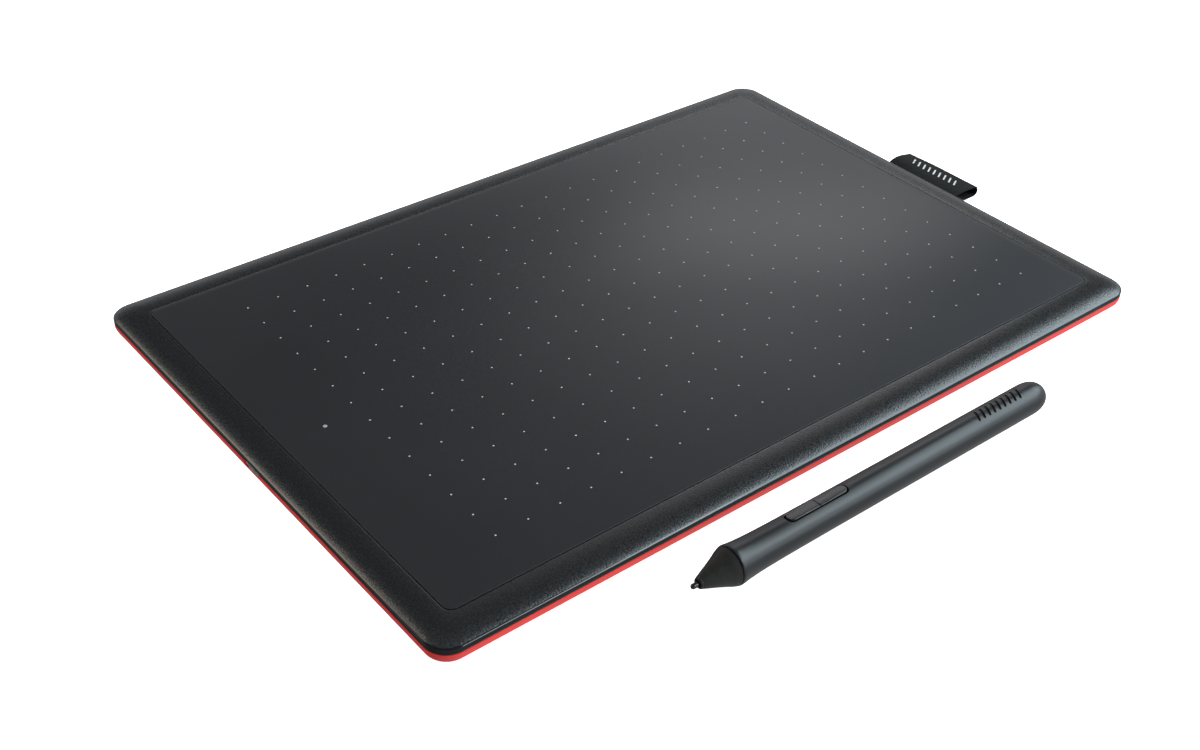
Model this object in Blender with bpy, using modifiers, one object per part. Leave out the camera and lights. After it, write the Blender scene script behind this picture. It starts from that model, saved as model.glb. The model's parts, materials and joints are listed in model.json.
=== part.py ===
"""Pen drawing tablet with its pen lying in front of it. Metres, +Z up.

The origin is under the middle of the whole object, on the surface it stands on. +X runs along
the tablet's long side, +Y to its back edge. The tablet's own pieces are placed from its centre,
and the pen's from the widest ring of its barrel, with the pen's axis running from tip to rear.
"""

import math

import bmesh
import bpy
from mathutils import Vector

MM = 0.001
GAP = 0.3 * MM

# Tablet outline and heights above the desk
TABLET_X = 277.0 * MM
TABLET_Y = 189.0 * MM
TABLET_TOP = 8.7 * MM
CORNER_R = 7.3 * MM
CORNER_STEPS = 10
SHEET_X = 257.1 * MM
SHEET_Y = 168.1 * MM
SHEET_R = 2.7 * MM
SHEET_THICK = 0.5 * MM
RIM_TOP = 8.62 * MM
UPPER_EDGE = 5.2 * MM
PAN_THICK = 1.0 * MM
LOWER_EDGE = UPPER_EDGE - GAP
UNDERSIDE = 0.8 * MM
FLOOR_TOP = 2.2 * MM
UNDERCUT = 3.0 * MM
WALL = 1.8 * MM

# Feet, with a case screw under each
FOOT_X = 120.0 * MM
FOOT_Y = 76.0 * MM
FOOT_R = 7.0 * MM
FOOT_TOP = 1.1 * MM

# Boards and what is on them
BOARD_THICK = 0.8 * MM
SENSOR_LEFT = -106.0 * MM
SENSOR_RIGHT = 118.0 * MM
SENSOR_HALF_Y = 72.0 * MM
SHIELD_LEFT = -98.0 * MM
SHIELD_RIGHT = 116.0 * MM
SHIELD_HALF_Y = 70.0 * MM
SHIELD_THICK = 0.5 * MM
CONTROL_LEFT = -134.6 * MM
CONTROL_RIGHT = -110.0 * MM
CONTROL_HALF_Y = 34.0 * MM
CONTROL_Z = 4.4 * MM
CHIP_Z = CONTROL_Z + BOARD_THICK + GAP
BOARD_SCREW_X = -129.0 * MM
BOARD_SCREW_Y = 29.0 * MM
LED_X = -114.3 * MM
LED_Y = -0.3 * MM

# Micro USB socket in the left edge
USB_X = 7.5 * MM
USB_Z0 = 2.9 * MM
USB_Z1 = 5.4 * MM
USB_FRONT = -137.9 * MM
USB_DEEP = 5.4 * MM
USB_WALL = 0.25 * MM

# Woven pen loop on the right edge
LOOP_OUT = 13.6 * MM
LOOP_LONG = 32.5 * MM
LOOP_RISE = 0.65 * MM
LOOP_DROP = 3.3 * MM
LOOP_Y = -1.15 * MM
LOOP_Z = 5.7 * MM
TAPE = 0.5 * MM
TAIL_IN = 127.5 * MM

# Pen: lengths are measured back from the flare, its widest ring
PEN_X = -57.98 * MM
PEN_Y = -112.28 * MM
PEN_YAW = math.radians(0.28)
PEN_ROLL = math.radians(-5)
PEN_STEPS = 32
TIP = -14.33 * MM
FLARE_R = 5.91 * MM
BARREL_R = 5.05 * MM
BARREL_STRAIGHT_END = 121.0 * MM
REAR = 127.74 * MM
SEAM = -1.0 * MM
BORE_R = 4.05 * MM
NIB_R = 0.8 * MM
NIB_TRAVEL = 0.4 * MM
ROCKER_MID = 31.3 * MM
ROCKER_LONG = 22.0 * MM
ROCKER_WIDE = 3.3 * MM
ROCKER_TOP = 5.25 * MM
ROCKER_CROWN_R = 12.0 * MM
ROCKER_END_GAP = 0.65 * MM
END_ROUND = 0.9
PEN_BOARD_Z = 0.3 * MM
PIVOT_Z = PEN_BOARD_Z + BOARD_THICK + GAP
ROCKER_UNDER = 3.25 * MM - PIVOT_Z
ROCKER_EDGE = 0.25 * MM
ROCKER_DIP = 0.12 * MM
SWITCH_HIGH = 0.85 * MM
SWITCH_FROM_MID = 7.5 * MM

# The whole object's box, which the origin is the middle of
PEN_FRONT = PEN_Y - FLARE_R
TABLET_MID_X = -LOOP_OUT / 2
TABLET_MID_Y = -(TABLET_Y / 2 + PEN_FRONT) / 2

parts = None
cutters = None


# ---------------------------------------------------------------- helpers


def clear_scene():
    for obj in list(bpy.data.objects):
        bpy.data.objects.remove(obj, do_unlink=True)


def new_collection(name, hidden=False):
    collection = bpy.data.collections.new(name)
    bpy.context.scene.collection.children.link(collection)
    collection.hide_render = hidden
    return collection


def material(name, colour, roughness, metallic=0.0):
    mat = bpy.data.materials.new(name)
    mat.use_nodes = True
    shader = mat.node_tree.nodes["Principled BSDF"]
    shader.inputs["Base Color"].default_value = (*colour, 1.0)
    shader.inputs["Roughness"].default_value = roughness
    shader.inputs["Metallic"].default_value = metallic
    return mat


def empty(name, location, rotation=(0, 0, 0), parent=None):
    obj = bpy.data.objects.new(name, None)
    parts.objects.link(obj)
    obj.location = location
    obj.rotation_euler = rotation
    obj.parent = parent
    return obj


def piece(name, data, mat=None, parent=None, location=(0, 0, 0), rotation=(0, 0, 0)):
    """A sub-part, or a cutter where it has no material."""
    obj = bpy.data.objects.new(name, data)
    obj.location = location
    obj.rotation_euler = rotation
    obj.parent = parent
    if mat:
        parts.objects.link(obj)
        data.materials.append(mat)
    else:
        cutters.objects.link(obj)
        obj.hide_render = True
        obj.display_type = "WIRE"
    return obj


def mesh_from(bm, name, smooth=True):
    bmesh.ops.recalc_face_normals(bm, faces=bm.faces)
    mesh = bpy.data.meshes.new(name)
    bm.to_mesh(mesh)
    bm.free()
    if smooth:
        mesh.shade_smooth()
        mesh.set_sharp_from_angle(angle=math.radians(35))
    return mesh


def box_mesh(name, low, high):
    bm = bmesh.new()
    bmesh.ops.create_cube(bm, size=1.0)
    size = Vector(high) - Vector(low)
    middle = (Vector(high) + Vector(low)) / 2
    for vert in bm.verts:
        vert.co = Vector(a * b for a, b in zip(vert.co, size)) + middle
    return mesh_from(bm, name, smooth=False)


def disc_mesh(name, radius, low, high, steps=24):
    bm = bmesh.new()
    bmesh.ops.create_cone(
        bm, cap_ends=True, segments=steps, radius1=radius, radius2=radius, depth=high - low
    )
    bmesh.ops.translate(bm, verts=bm.verts, vec=(0, 0, (low + high) / 2))
    return mesh_from(bm, name)


def arc(centre, radius_x, radius_y, start, end, steps):
    """Points of an arc of an ellipse, with angles in degrees."""
    angles = [math.radians(start + (end - start) * i / steps) for i in range(steps + 1)]
    return [
        (centre[0] + radius_x * math.cos(a), centre[1] + radius_y * math.sin(a)) for a in angles
    ]


def rounded_rectangle(half_x, half_y, radius, steps=CORNER_STEPS):
    points = []
    for turn, (sx, sy) in enumerate(((1, 1), (-1, 1), (-1, -1), (1, -1))):
        corner = (sx * (half_x - radius), sy * (half_y - radius))
        points += arc(corner, radius, radius, turn * 90, turn * 90 + 90, steps)
    return points


def lofted(name, rings, smooth=True, caps=(True, True)):
    """A surface through rings that have the same number of points, capped at its ends."""
    bm = bmesh.new()
    loops = [[bm.verts.new(point) for point in ring] for ring in rings]
    for loop, above in zip(loops, loops[1:]):
        for i in range(len(loop)):
            j = (i + 1) % len(loop)
            bm.faces.new((loop[i], loop[j], above[j], above[i]))
    for loop, closed in zip((loops[0], loops[-1]), caps):
        if closed:
            bm.faces.new(loop)
    return mesh_from(bm, name, smooth)


def case_shell(name, sections):
    """A closed solid through rounded rectangles, each (half_x, half_y, radius, z)."""
    rings = []
    for half_x, half_y, radius, z in sections:
        rings.append([(x, y, z) for x, y in rounded_rectangle(half_x, half_y, radius)])
    return lofted(name, rings)


def plate_curve(name, outlines, thick):
    """A flat plate in its own XY plane: the first outline less the others, centred on z = 0."""
    curve = bpy.data.curves.new(name, "CURVE")
    curve.dimensions = "2D"
    curve.fill_mode = "BOTH"
    curve.extrude = thick / 2
    for outline in outlines:
        spline = curve.splines.new("POLY")
        spline.points.add(len(outline) - 1)
        for point, (x, y) in zip(spline.points, outline):
            point.co = (x, y, 0, 1)
        spline.use_cyclic_u = True
    return curve


def turned(name, profile, mat=None, parent=None, location=(0, 0, 0), rotation=(0, 0, 0), steps=24):
    """A turned piece about its own Z, from (radius, z) points that run down its outer side."""
    bm = bmesh.new()
    verts = [bm.verts.new((radius, 0, z)) for radius, z in profile]
    for a, b in zip(verts, verts[1:]):
        bm.edges.new((a, b))
    if profile[0][0] > 0:
        bm.edges.new((verts[-1], verts[0]))
    mesh = bpy.data.meshes.new(name)
    bm.to_mesh(mesh)
    bm.free()
    obj = piece(name, mesh, mat, parent, location, rotation)
    screw = obj.modifiers.new("Screw", "SCREW")
    screw.steps = steps
    screw.render_steps = steps
    screw.use_merge_vertices = True
    screw.merge_threshold = 0.000001
    screw.use_smooth_shade = True
    return obj


def as_mesh(obj):
    """The same object with its modifiers applied, its curve made a mesh and its caps welded."""
    bpy.context.view_layer.update()
    graph = bpy.context.evaluated_depsgraph_get()
    mesh = bpy.data.meshes.new_from_object(obj.evaluated_get(graph))
    bm = bmesh.new()
    bm.from_mesh(mesh)
    bmesh.ops.remove_doubles(bm, verts=bm.verts, dist=0.000001)
    bmesh.ops.recalc_face_normals(bm, faces=bm.faces)
    bm.to_mesh(mesh)
    bm.free()
    name = obj.name
    new = bpy.data.objects.new(name + "_mesh", mesh)
    for collection in obj.users_collection:
        collection.objects.link(new)
    new.parent = obj.parent
    new.matrix_world = obj.matrix_world.copy()
    new.hide_render = obj.hide_render
    new.display_type = obj.display_type
    bpy.data.objects.remove(obj, do_unlink=True)
    new.name = name
    return new


def boolean(obj, operation, tools, label):
    """One Boolean of obj with all the tools, which go in a collection of their own."""
    group = bpy.data.collections.new(obj.name + "_" + label)
    cutters.children.link(group)
    for tool in tools:
        cutters.objects.unlink(tool)
        group.objects.link(tool)
    modifier = obj.modifiers.new(label, "BOOLEAN")
    modifier.operation = operation
    modifier.operand_type = "COLLECTION"
    modifier.collection = group
    modifier.solver = "EXACT"


def bevel(obj, width, segments=2, angle=40):
    modifier = obj.modifiers.new("Bevel", "BEVEL")
    modifier.width = width
    modifier.segments = segments
    modifier.limit_method = "ANGLE"
    modifier.angle_limit = math.radians(angle)


# ---------------------------------------------------------------- the tablet's shell


def case_section(inset, z, radius):
    return (TABLET_X / 2 - inset, TABLET_Y / 2 - inset, radius, z)


def make_upper_case(mat, parent):
    recess = (SHEET_X / 2 + GAP, SHEET_Y / 2 + GAP, SHEET_R + GAP)
    outside = (TABLET_X / 2, TABLET_Y / 2, CORNER_R)
    pan_top = TABLET_TOP - SHEET_THICK - GAP
    sections = [(*recess, pan_top)]
    rim_steps = 9
    for i in range(rim_steps + 1):
        angle = math.pi / 2 * i / rim_steps
        spread = [a + (b - a) * math.sin(angle) for a, b in zip(recess, outside)]
        sections.append((*spread, UPPER_EDGE + (RIM_TOP - UPPER_EDGE) * math.cos(angle)))
    pan_under = pan_top - PAN_THICK
    sections += [
        case_section(WALL, UPPER_EDGE, CORNER_R - WALL),
        case_section(WALL + 0.4 * MM, UPPER_EDGE + 0.6 * MM, CORNER_R - WALL),
        case_section(WALL + 2.4 * MM, pan_under, CORNER_R - 2 * WALL),
    ]
    case = piece("upper_case", case_shell("upper_case", sections), mat, parent)

    bosses = []
    screw_holes = []
    for x, y, tag in corners():
        boss = disc_mesh("boss", 2.6 * MM, 4.7 * MM, pan_under + 0.3 * MM)
        bosses.append(piece("upper_boss_" + tag, boss, None, parent, (x, y, 0)))
        hole = disc_mesh("hole", 1.25 * MM, 4.0 * MM, 6.6 * MM, 16)
        screw_holes.append(piece("upper_hole_" + tag, hole, None, parent, (x, y, 0)))
    led_hole = disc_mesh("led_hole", 0.95 * MM, 6.0 * MM, 9.0 * MM, 16)
    slot = box_mesh(
        "loop_slot",
        (TAIL_IN, LOOP_Y - LOOP_LONG / 2 - GAP, LOOP_Z - TAPE - GAP),
        (TABLET_X / 2 + 1 * MM, LOOP_Y + LOOP_LONG / 2 + GAP, LOOP_Z + TAPE + GAP),
    )
    usb_half = USB_X / 2 + GAP
    usb_notch = box_mesh(
        "notch", (-TABLET_X / 2 - 1 * MM, -usb_half, 4 * MM), (-130 * MM, usb_half, USB_Z1 + GAP)
    )
    cuts = screw_holes + [
        piece("light_pipe_hole", led_hole, None, parent, (LED_X, LED_Y, 0)),
        piece("upper_loop_slot", slot, None, parent),
        piece("upper_usb_notch", usb_notch, None, parent),
    ]
    boolean(case, "UNION", bosses, "bosses")
    boolean(case, "DIFFERENCE", cuts, "holes")


def corners():
    tags = ("front_left", "front_right", "back_left", "back_right")
    places = ((-1, -1), (1, -1), (-1, 1), (1, 1))
    return [(sx * FOOT_X, sy * FOOT_Y, tag) for (sx, sy), tag in zip(places, tags)]


def make_lower_case(mat, parent):
    side_top = LOWER_EDGE - 0.2 * MM
    side_drop = side_top - UNDERSIDE
    bottom_r = 4.3 * MM
    side_steps = 8
    sections = []
    for i in range(side_steps + 1):
        angle = math.pi / 2 * (1 - i / side_steps)
        radius = CORNER_R + (bottom_r - CORNER_R) * (1 - math.cos(angle))
        inset = UNDERCUT * (1 - math.cos(angle))
        sections.append(case_section(inset, side_top - side_drop * math.sin(angle), radius))
    lip_out = WALL + GAP
    lip_in = lip_out + 1.0 * MM
    lip_top = 5.5 * MM
    inner_top = 4.2 * MM
    sections += [
        case_section(0.2 * MM, LOWER_EDGE, CORNER_R),
        case_section(lip_out, LOWER_EDGE, CORNER_R - WALL),
        case_section(lip_out, lip_top, CORNER_R - WALL),
        case_section(lip_in, lip_top, CORNER_R - 2 * WALL),
    ]
    inner_steps = 4
    for i in range(inner_steps + 1):
        angle = math.pi / 2 * i / inner_steps
        inset = lip_in + 2.5 * MM * (1 - math.cos(angle))
        z = inner_top - (inner_top - FLOOR_TOP) * math.sin(angle)
        sections.append(case_section(inset, z, CORNER_R - 2 * WALL))
    case = piece("lower_case", case_shell("lower_case", sections), mat, parent)

    root = FLOOR_TOP - 0.5 * MM
    adds = []
    cuts = []
    for x, y, tag in corners():
        post = disc_mesh("post", 3.2 * MM, root, 4.4 * MM)
        adds.append(piece("lower_boss_" + tag, post, None, parent, (x, y, 0)))
        recess = disc_mesh("recess", FOOT_R + GAP, 0, FOOT_TOP + GAP, 32)
        cuts.append(piece("foot_recess_" + tag, recess, None, parent, (x, y, 0)))
        counterbore = disc_mesh("counterbore", 2.2 * MM, 1.0 * MM, 3.0 * MM, 20)
        cuts.append(piece("counterbore_" + tag, counterbore, None, parent, (x, y, 0)))
        hole = disc_mesh("hole", 1.25 * MM, 2.0 * MM, 5.0 * MM, 16)
        cuts.append(piece("lower_hole_" + tag, hole, None, parent, (x, y, 0)))
    for tag, side in (("front", -1), ("back", 1)):
        y = side * BOARD_SCREW_Y
        post = disc_mesh("post", 2.2 * MM, root, CONTROL_Z - GAP, 20)
        adds.append(piece("board_post_" + tag, post, None, parent, (BOARD_SCREW_X, y, 0)))
        hole = disc_mesh("hole", 1.15 * MM, 2.4 * MM, 5.0 * MM, 16)
        cuts.append(piece("board_post_hole_" + tag, hole, None, parent, (BOARD_SCREW_X, y, 0)))
    rib_half = 0.6 * MM
    for number, y in enumerate((-50 * MM, -17 * MM, 17 * MM, 50 * MM)):
        rib = box_mesh("rib", (-94 * MM, y - rib_half, root), (112 * MM, y + rib_half, 4.7 * MM))
        adds.append(piece("rib_%d" % number, rib, None, parent))
    usb_half = USB_X / 2 + GAP
    usb_notch = box_mesh(
        "notch", (-TABLET_X / 2 - 1 * MM, -usb_half, USB_Z0 - GAP), (-130 * MM, usb_half, 7 * MM)
    )
    loop_slot = box_mesh(
        "slot",
        (130 * MM, LOOP_Y - LOOP_LONG / 2 - GAP, LOOP_Z - TAPE - GAP),
        (TABLET_X / 2 + 1 * MM, LOOP_Y + LOOP_LONG / 2 + GAP, 7 * MM),
    )
    label_recess = box_mesh(
        "label", (-30.3 * MM, -12.3 * MM, 0.4 * MM), (30.3 * MM, 12.3 * MM, 1.3 * MM)
    )
    cuts += [
        piece("usb_notch", usb_notch, None, parent),
        piece("lower_loop_slot", loop_slot, None, parent),
        piece("label_recess", label_recess, None, parent),
    ]
    boolean(case, "UNION", adds, "posts")
    boolean(case, "DIFFERENCE", cuts, "cuts")


def make_sheet(mat, parent):
    outline = rounded_rectangle(SHEET_X / 2, SHEET_Y / 2, SHEET_R, 6)
    middle = TABLET_TOP - SHEET_THICK / 2
    curve = plate_curve("drawing_sheet", [outline], SHEET_THICK)
    piece("drawing_sheet", curve, mat, parent, (0, 0, middle))


def make_feet(rubber, steel, parent):
    edge = 0.25 * MM
    foot_profile = [
        (0, FOOT_TOP),
        (FOOT_R, FOOT_TOP),
        (FOOT_R, edge),
        (FOOT_R - edge, 0),
        (0, 0),
    ]
    screw_profile = [
        (0, 6.2 * MM),
        (0.5 * MM, 6.2 * MM),
        (0.95 * MM, 5.7 * MM),
        (0.95 * MM, 2.7 * MM),
        (1.9 * MM, 2.7 * MM),
        (1.9 * MM, 1.9 * MM),
        (1.5 * MM, 1.5 * MM),
        (0, 1.5 * MM),
    ]
    for x, y, tag in corners():
        turned("foot_" + tag, foot_profile, rubber, parent, (x, y, 0), steps=32)
        turned("case_screw_" + tag, screw_profile, steel, parent, (x, y, 0), steps=16)


def make_label(mat, parent):
    label = box_mesh("rating_label", (-30 * MM, -12 * MM, UNDERSIDE), (30 * MM, 12 * MM, 1.0 * MM))
    piece("rating_label", label, mat, parent)


# ---------------------------------------------------------------- the tablet's electronics


def rectangle(x0, x1, y0, y1):
    return [(x0, y0), (x1, y0), (x1, y1), (x0, y1)]


def make_boards(green, steel, foam, parent):
    sensor_z = TABLET_TOP - SHEET_THICK - GAP - PAN_THICK - GAP - BOARD_THICK
    outline = rectangle(SENSOR_LEFT, SENSOR_RIGHT, -SENSOR_HALF_Y, SENSOR_HALF_Y)
    sensor = plate_curve("sensor_board", [outline], BOARD_THICK)
    piece("sensor_board", sensor, green, parent, (0, 0, sensor_z + BOARD_THICK / 2))

    shield_z = sensor_z - GAP - SHIELD_THICK
    outline = rectangle(SHIELD_LEFT, SHIELD_RIGHT, -SHIELD_HALF_Y, SHIELD_HALF_Y)
    shield = plate_curve("shield_plate", [outline], SHIELD_THICK)
    piece("shield_plate", shield, steel, parent, (0, 0, shield_z + SHIELD_THICK / 2))
    for tag, y in (("front", -33.5 * MM), ("back", 33.5 * MM)):
        low = (-90 * MM, y - 5 * MM, FLOOR_TOP + GAP)
        high = (108 * MM, y + 5 * MM, shield_z - GAP)
        piece("foam_strip_" + tag, box_mesh("foam_strip_" + tag, low, high), foam, parent)

    notch_in = USB_FRONT + USB_DEEP + GAP
    usb_half = USB_X / 2 + GAP
    outline = [
        (CONTROL_LEFT, -CONTROL_HALF_Y),
        (CONTROL_RIGHT, -CONTROL_HALF_Y),
        (CONTROL_RIGHT, CONTROL_HALF_Y),
        (CONTROL_LEFT, CONTROL_HALF_Y),
        (CONTROL_LEFT, usb_half),
        (notch_in, usb_half),
        (notch_in, -usb_half),
        (CONTROL_LEFT, -usb_half),
    ]
    holes = [
        arc((BOARD_SCREW_X, side * BOARD_SCREW_Y), 1.15 * MM, 1.15 * MM, 0, 337.5, 15)
        for side in (-1, 1)
    ]
    control = plate_curve("control_board", [outline] + holes, BOARD_THICK)
    piece("control_board", control, green, parent, (0, 0, CONTROL_Z + BOARD_THICK / 2))


def make_chips(black, steel, white, clear, parent):
    def chip(name, x, y, size_x, size_y, high, mat):
        low = (x - size_x / 2, y - size_y / 2, CHIP_Z)
        top = (x + size_x / 2, y + size_y / 2, CHIP_Z + high)
        obj = piece(name, box_mesh(name, low, top), mat, parent)
        bevel(obj, 0.1 * MM, 1)

    chip("controller_chip", -122 * MM, -15 * MM, 7 * MM, 7 * MM, 0.8 * MM, black)
    chip("sensing_chip", -122 * MM, 17 * MM, 5 * MM, 5 * MM, 0.8 * MM, black)
    chip("crystal", -116 * MM, -22 * MM, 3.2 * MM, 2.5 * MM, 0.7 * MM, steel)
    chip("status_led", LED_X, LED_Y, 1.6 * MM, 0.9 * MM, 0.5 * MM, white)
    pipe_low = CHIP_Z + 0.5 * MM + GAP
    profile = [
        (0, TABLET_TOP - SHEET_THICK - GAP),
        (0.65 * MM, TABLET_TOP - SHEET_THICK - GAP),
        (0.65 * MM, pipe_low + 0.3 * MM),
        (1.6 * MM, pipe_low + 0.3 * MM),
        (1.6 * MM, pipe_low),
        (0, pipe_low),
    ]
    turned("light_pipe", profile, clear, parent, (LED_X, LED_Y, 0), steps=16)


def make_board_screws(steel, parent):
    profile = [
        (0, CHIP_Z + 1.0 * MM),
        (1.2 * MM, CHIP_Z + 1.0 * MM),
        (1.7 * MM, CHIP_Z + 0.6 * MM),
        (1.7 * MM, CHIP_Z),
        (0.85 * MM, CHIP_Z),
        (0.85 * MM, 3.2 * MM),
        (0.4 * MM, 2.8 * MM),
        (0, 2.8 * MM),
    ]
    for tag, side in (("front", -1), ("back", 1)):
        place = (BOARD_SCREW_X, side * BOARD_SCREW_Y, 0)
        turned("board_screw_" + tag, profile, steel, parent, place, steps=16)


def make_flex(black, orange, parent):
    """Two connectors and the flat cable that steps down from the sensor board between them."""
    wide = 16 * MM
    y0 = -29 * MM
    entry = 0.6 * MM
    low_z = 4.7 * MM
    high = (-111.0 * MM, y0 + wide, CHIP_Z + 0.8 * MM)
    control = box_mesh("flex_connector_control", (-114.0 * MM, y0, CHIP_Z), high)
    piece("flex_connector_control", control, black, parent)
    high = (-101.8 * MM, y0 + wide, low_z + 0.8 * MM)
    sensor = box_mesh("flex_connector_sensor", (-104.8 * MM, y0, low_z), high)
    piece("flex_connector_sensor", sensor, black, parent)

    start = Vector((-111.0 * MM + GAP, 0, CHIP_Z + entry / 2))
    end = Vector((-104.8 * MM - GAP, 0, low_z + entry / 2))
    bm = bmesh.new()
    steps = 10
    rows = []
    for i in range(steps + 1):
        t = i / steps
        ease = t * t * (3 - 2 * t)
        x = start.x + (end.x - start.x) * t
        z = start.z + (end.z - start.z) * ease
        rows.append([bm.verts.new((x, y, z)) for y in (y0 + 1 * MM, y0 + wide - 1 * MM)])
    for a, b in zip(rows, rows[1:]):
        bm.faces.new((a[0], a[1], b[1], b[0]))
    cable = piece("flex_cable", mesh_from(bm, "flex_cable"), orange, parent)
    thick = cable.modifiers.new("Solidify", "SOLIDIFY")
    thick.thickness = 0.2 * MM
    thick.offset = 0


def usb_outline(inset):
    """The socket's section, seen from outside: its lower corners are cut off."""
    half = USB_X / 2 - inset
    low = USB_Z0 + inset
    top = USB_Z1 - inset
    cut = 0.9 * MM - inset * 0.4
    return [
        (-half, top),
        (half, top),
        (half, low + cut),
        (half - cut, low),
        (-half + cut, low),
        (-half, low + cut),
    ]


def make_usb(steel, black, parent):
    back = USB_FRONT + USB_DEEP
    rings = [[(x, y, z) for y, z in usb_outline(0)] for x in (USB_FRONT, back)]
    shell_mesh = lofted("usb_shell", rings, smooth=False, caps=(False, True))
    shell = piece("usb_shell", shell_mesh, steel, parent)
    thick = shell.modifiers.new("Solidify", "SOLIDIFY")
    thick.thickness = USB_WALL
    thick.offset = -1
    thick.use_even_offset = True

    rear = back - USB_WALL - GAP
    block_long = 1.2 * MM
    outline = usb_outline(USB_WALL + GAP)
    rings = [[(x, y, z) for y, z in outline] for x in (rear - block_long, rear)]
    body = piece("usb_tongue", lofted("usb_tongue", rings, smooth=False), black, parent)
    blade_half = 1.85 * MM
    low = (USB_FRONT + 0.8 * MM, -blade_half, 4.2 * MM)
    high = (rear - block_long / 2, blade_half, 4.75 * MM)
    blade = piece("usb_blade", box_mesh("blade", low, high), None, parent)
    boolean(body, "UNION", [blade], "blade")


# ---------------------------------------------------------------- the pen loop


def loop_outline(inset, left):
    """Round the loop's section from its left end: sagging under side, fold, nearly flat top."""
    start = TABLET_X / 2 + 0.6 * MM
    fold_r = (LOOP_RISE + LOOP_DROP) / 2
    fold = (TABLET_X / 2 + LOOP_OUT - fold_r, LOOP_RISE - fold_r)
    sag_long = 6.5 * MM
    rise_long = 3.0 * MM

    def under(x):
        part = min(1.0, (x - start) / sag_long)
        return -TAPE - (LOOP_DROP - TAPE) * (1 - math.cos(math.pi * part)) / 2 + inset

    def top(x):
        part = min(1.0, (x - start) / rise_long)
        return TAPE + (LOOP_RISE - TAPE) * (1 - math.cos(math.pi * part)) / 2 - inset

    steps = 10
    sag = [left + (start + sag_long - left) * i / steps for i in range(steps + 1)]
    rise = [left + (start + rise_long - left) * i / 4 for i in range(4, 0, -1)]
    points = [(x, under(x)) for x in sag]
    points += arc(fold, fold_r - inset, fold_r - inset, -90, 90, 12)
    points += [(x, top(x)) for x in rise]
    return points


def make_loop(fabric, black, parent):
    """Woven tape folded into a flattened loop, with its joined ends held inside the case."""
    tail_out = TABLET_X / 2 + 0.6 * MM
    outer = [(TAIL_IN, -TAPE)] + loop_outline(0, tail_out) + [(tail_out, TAPE), (TAIL_IN, TAPE)]
    inner = loop_outline(TAPE, tail_out + 1.2 * MM)
    curve = plate_curve("pen_loop", [outer, inner], LOOP_LONG)
    loop = piece(
        "pen_loop", curve, fabric, parent, (0, LOOP_Y, LOOP_Z), (math.radians(90), 0, 0)
    )
    loop = as_mesh(loop)
    loop.data.shade_smooth()
    loop.data.set_sharp_from_angle(angle=math.radians(40))

    pin_x = TAIL_IN + 2.6 * MM
    pin_reach = 11 * MM
    low = (TAIL_IN, LOOP_Y - 15 * MM, FLOOR_TOP + GAP)
    high = (TAIL_IN + 4.7 * MM, LOOP_Y + 15 * MM, LOOP_Z - TAPE - GAP)
    clamp = piece("loop_clamp", box_mesh("loop_clamp", low, high), black, parent)
    pins = []
    holes = []
    for tag, side in (("front", -1), ("back", 1)):
        place = (pin_x, LOOP_Y + side * pin_reach, 0)
        pin = disc_mesh("pin", 0.9 * MM, high[2] - 0.4 * MM, LOOP_Z + TAPE + 0.1 * MM, 16)
        pins.append(piece("clamp_pin_" + tag, pin, None, parent, place))
        hole = disc_mesh("hole", 1.2 * MM, 4 * MM, 8 * MM, 16)
        holes.append(piece("tape_hole_" + tag, hole, None, parent, place))
    boolean(clamp, "UNION", pins, "pins")
    boolean(loop, "DIFFERENCE", holes, "holes")


# ---------------------------------------------------------------- the pen

ALONG = (0, math.radians(90), 0)


def barrel_radius(s):
    """The barrel narrows from the flare to its straight rear part."""
    fast = 0.62 * MM * math.exp(-s / (5.2 * MM))
    slow = 0.24 * MM * math.exp(-s / (17.0 * MM))
    return BARREL_R + fast + slow


def make_barrel(mat, parent):
    outer = [(0, REAR)]
    end_long = REAR - BARREL_STRAIGHT_END
    end_steps = 8
    for i in range(1, end_steps + 1):
        angle = math.pi / 2 * i / end_steps
        along = BARREL_STRAIGHT_END + end_long * math.cos(angle)
        outer.append((BARREL_R * math.sin(angle) ** 0.62, along))
    front = SEAM + GAP / 2
    for s in (60, 34, 24, 17, 12, 8.5, 6, 4, 2.5, 1.2, 0.4):
        outer.append((barrel_radius(s * MM), s * MM))
    outer.append((FLARE_R - 0.02 * MM, -0.2 * MM))
    outer.append((FLARE_R - 0.12 * MM, front))
    spigot_bore = 4.45 * MM
    inner = [
        (spigot_bore, front),
        (spigot_bore, 7.4 * MM),
        (BORE_R, 7.8 * MM),
        (BORE_R, 122.5 * MM),
        (2.4 * MM, 124.6 * MM),
        (0, 124.6 * MM),
    ]
    barrel = turned("pen_barrel", outer + inner, mat, parent, rotation=ALONG, steps=PEN_STEPS)
    half = (ROCKER_LONG / 2 + ROCKER_END_GAP, ROCKER_WIDE / 2 + GAP)
    slot = slot_mesh("slot", *half, BORE_R - 2.5 * MM, 8 * MM)
    slot = piece("rocker_slot", slot, None, parent, (ROCKER_MID, 0, 0))
    boolean(barrel, "DIFFERENCE", [slot], "slot")


def slot_mesh(name, half_long, half_wide, low, high):
    """A bar along X whose corners are rounded in plan."""
    outline = rounded_rectangle(half_long, half_wide, half_wide * END_ROUND, 6)
    return lofted(name, [[(x, y, z) for x, y in outline] for z in (low, high)])


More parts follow.
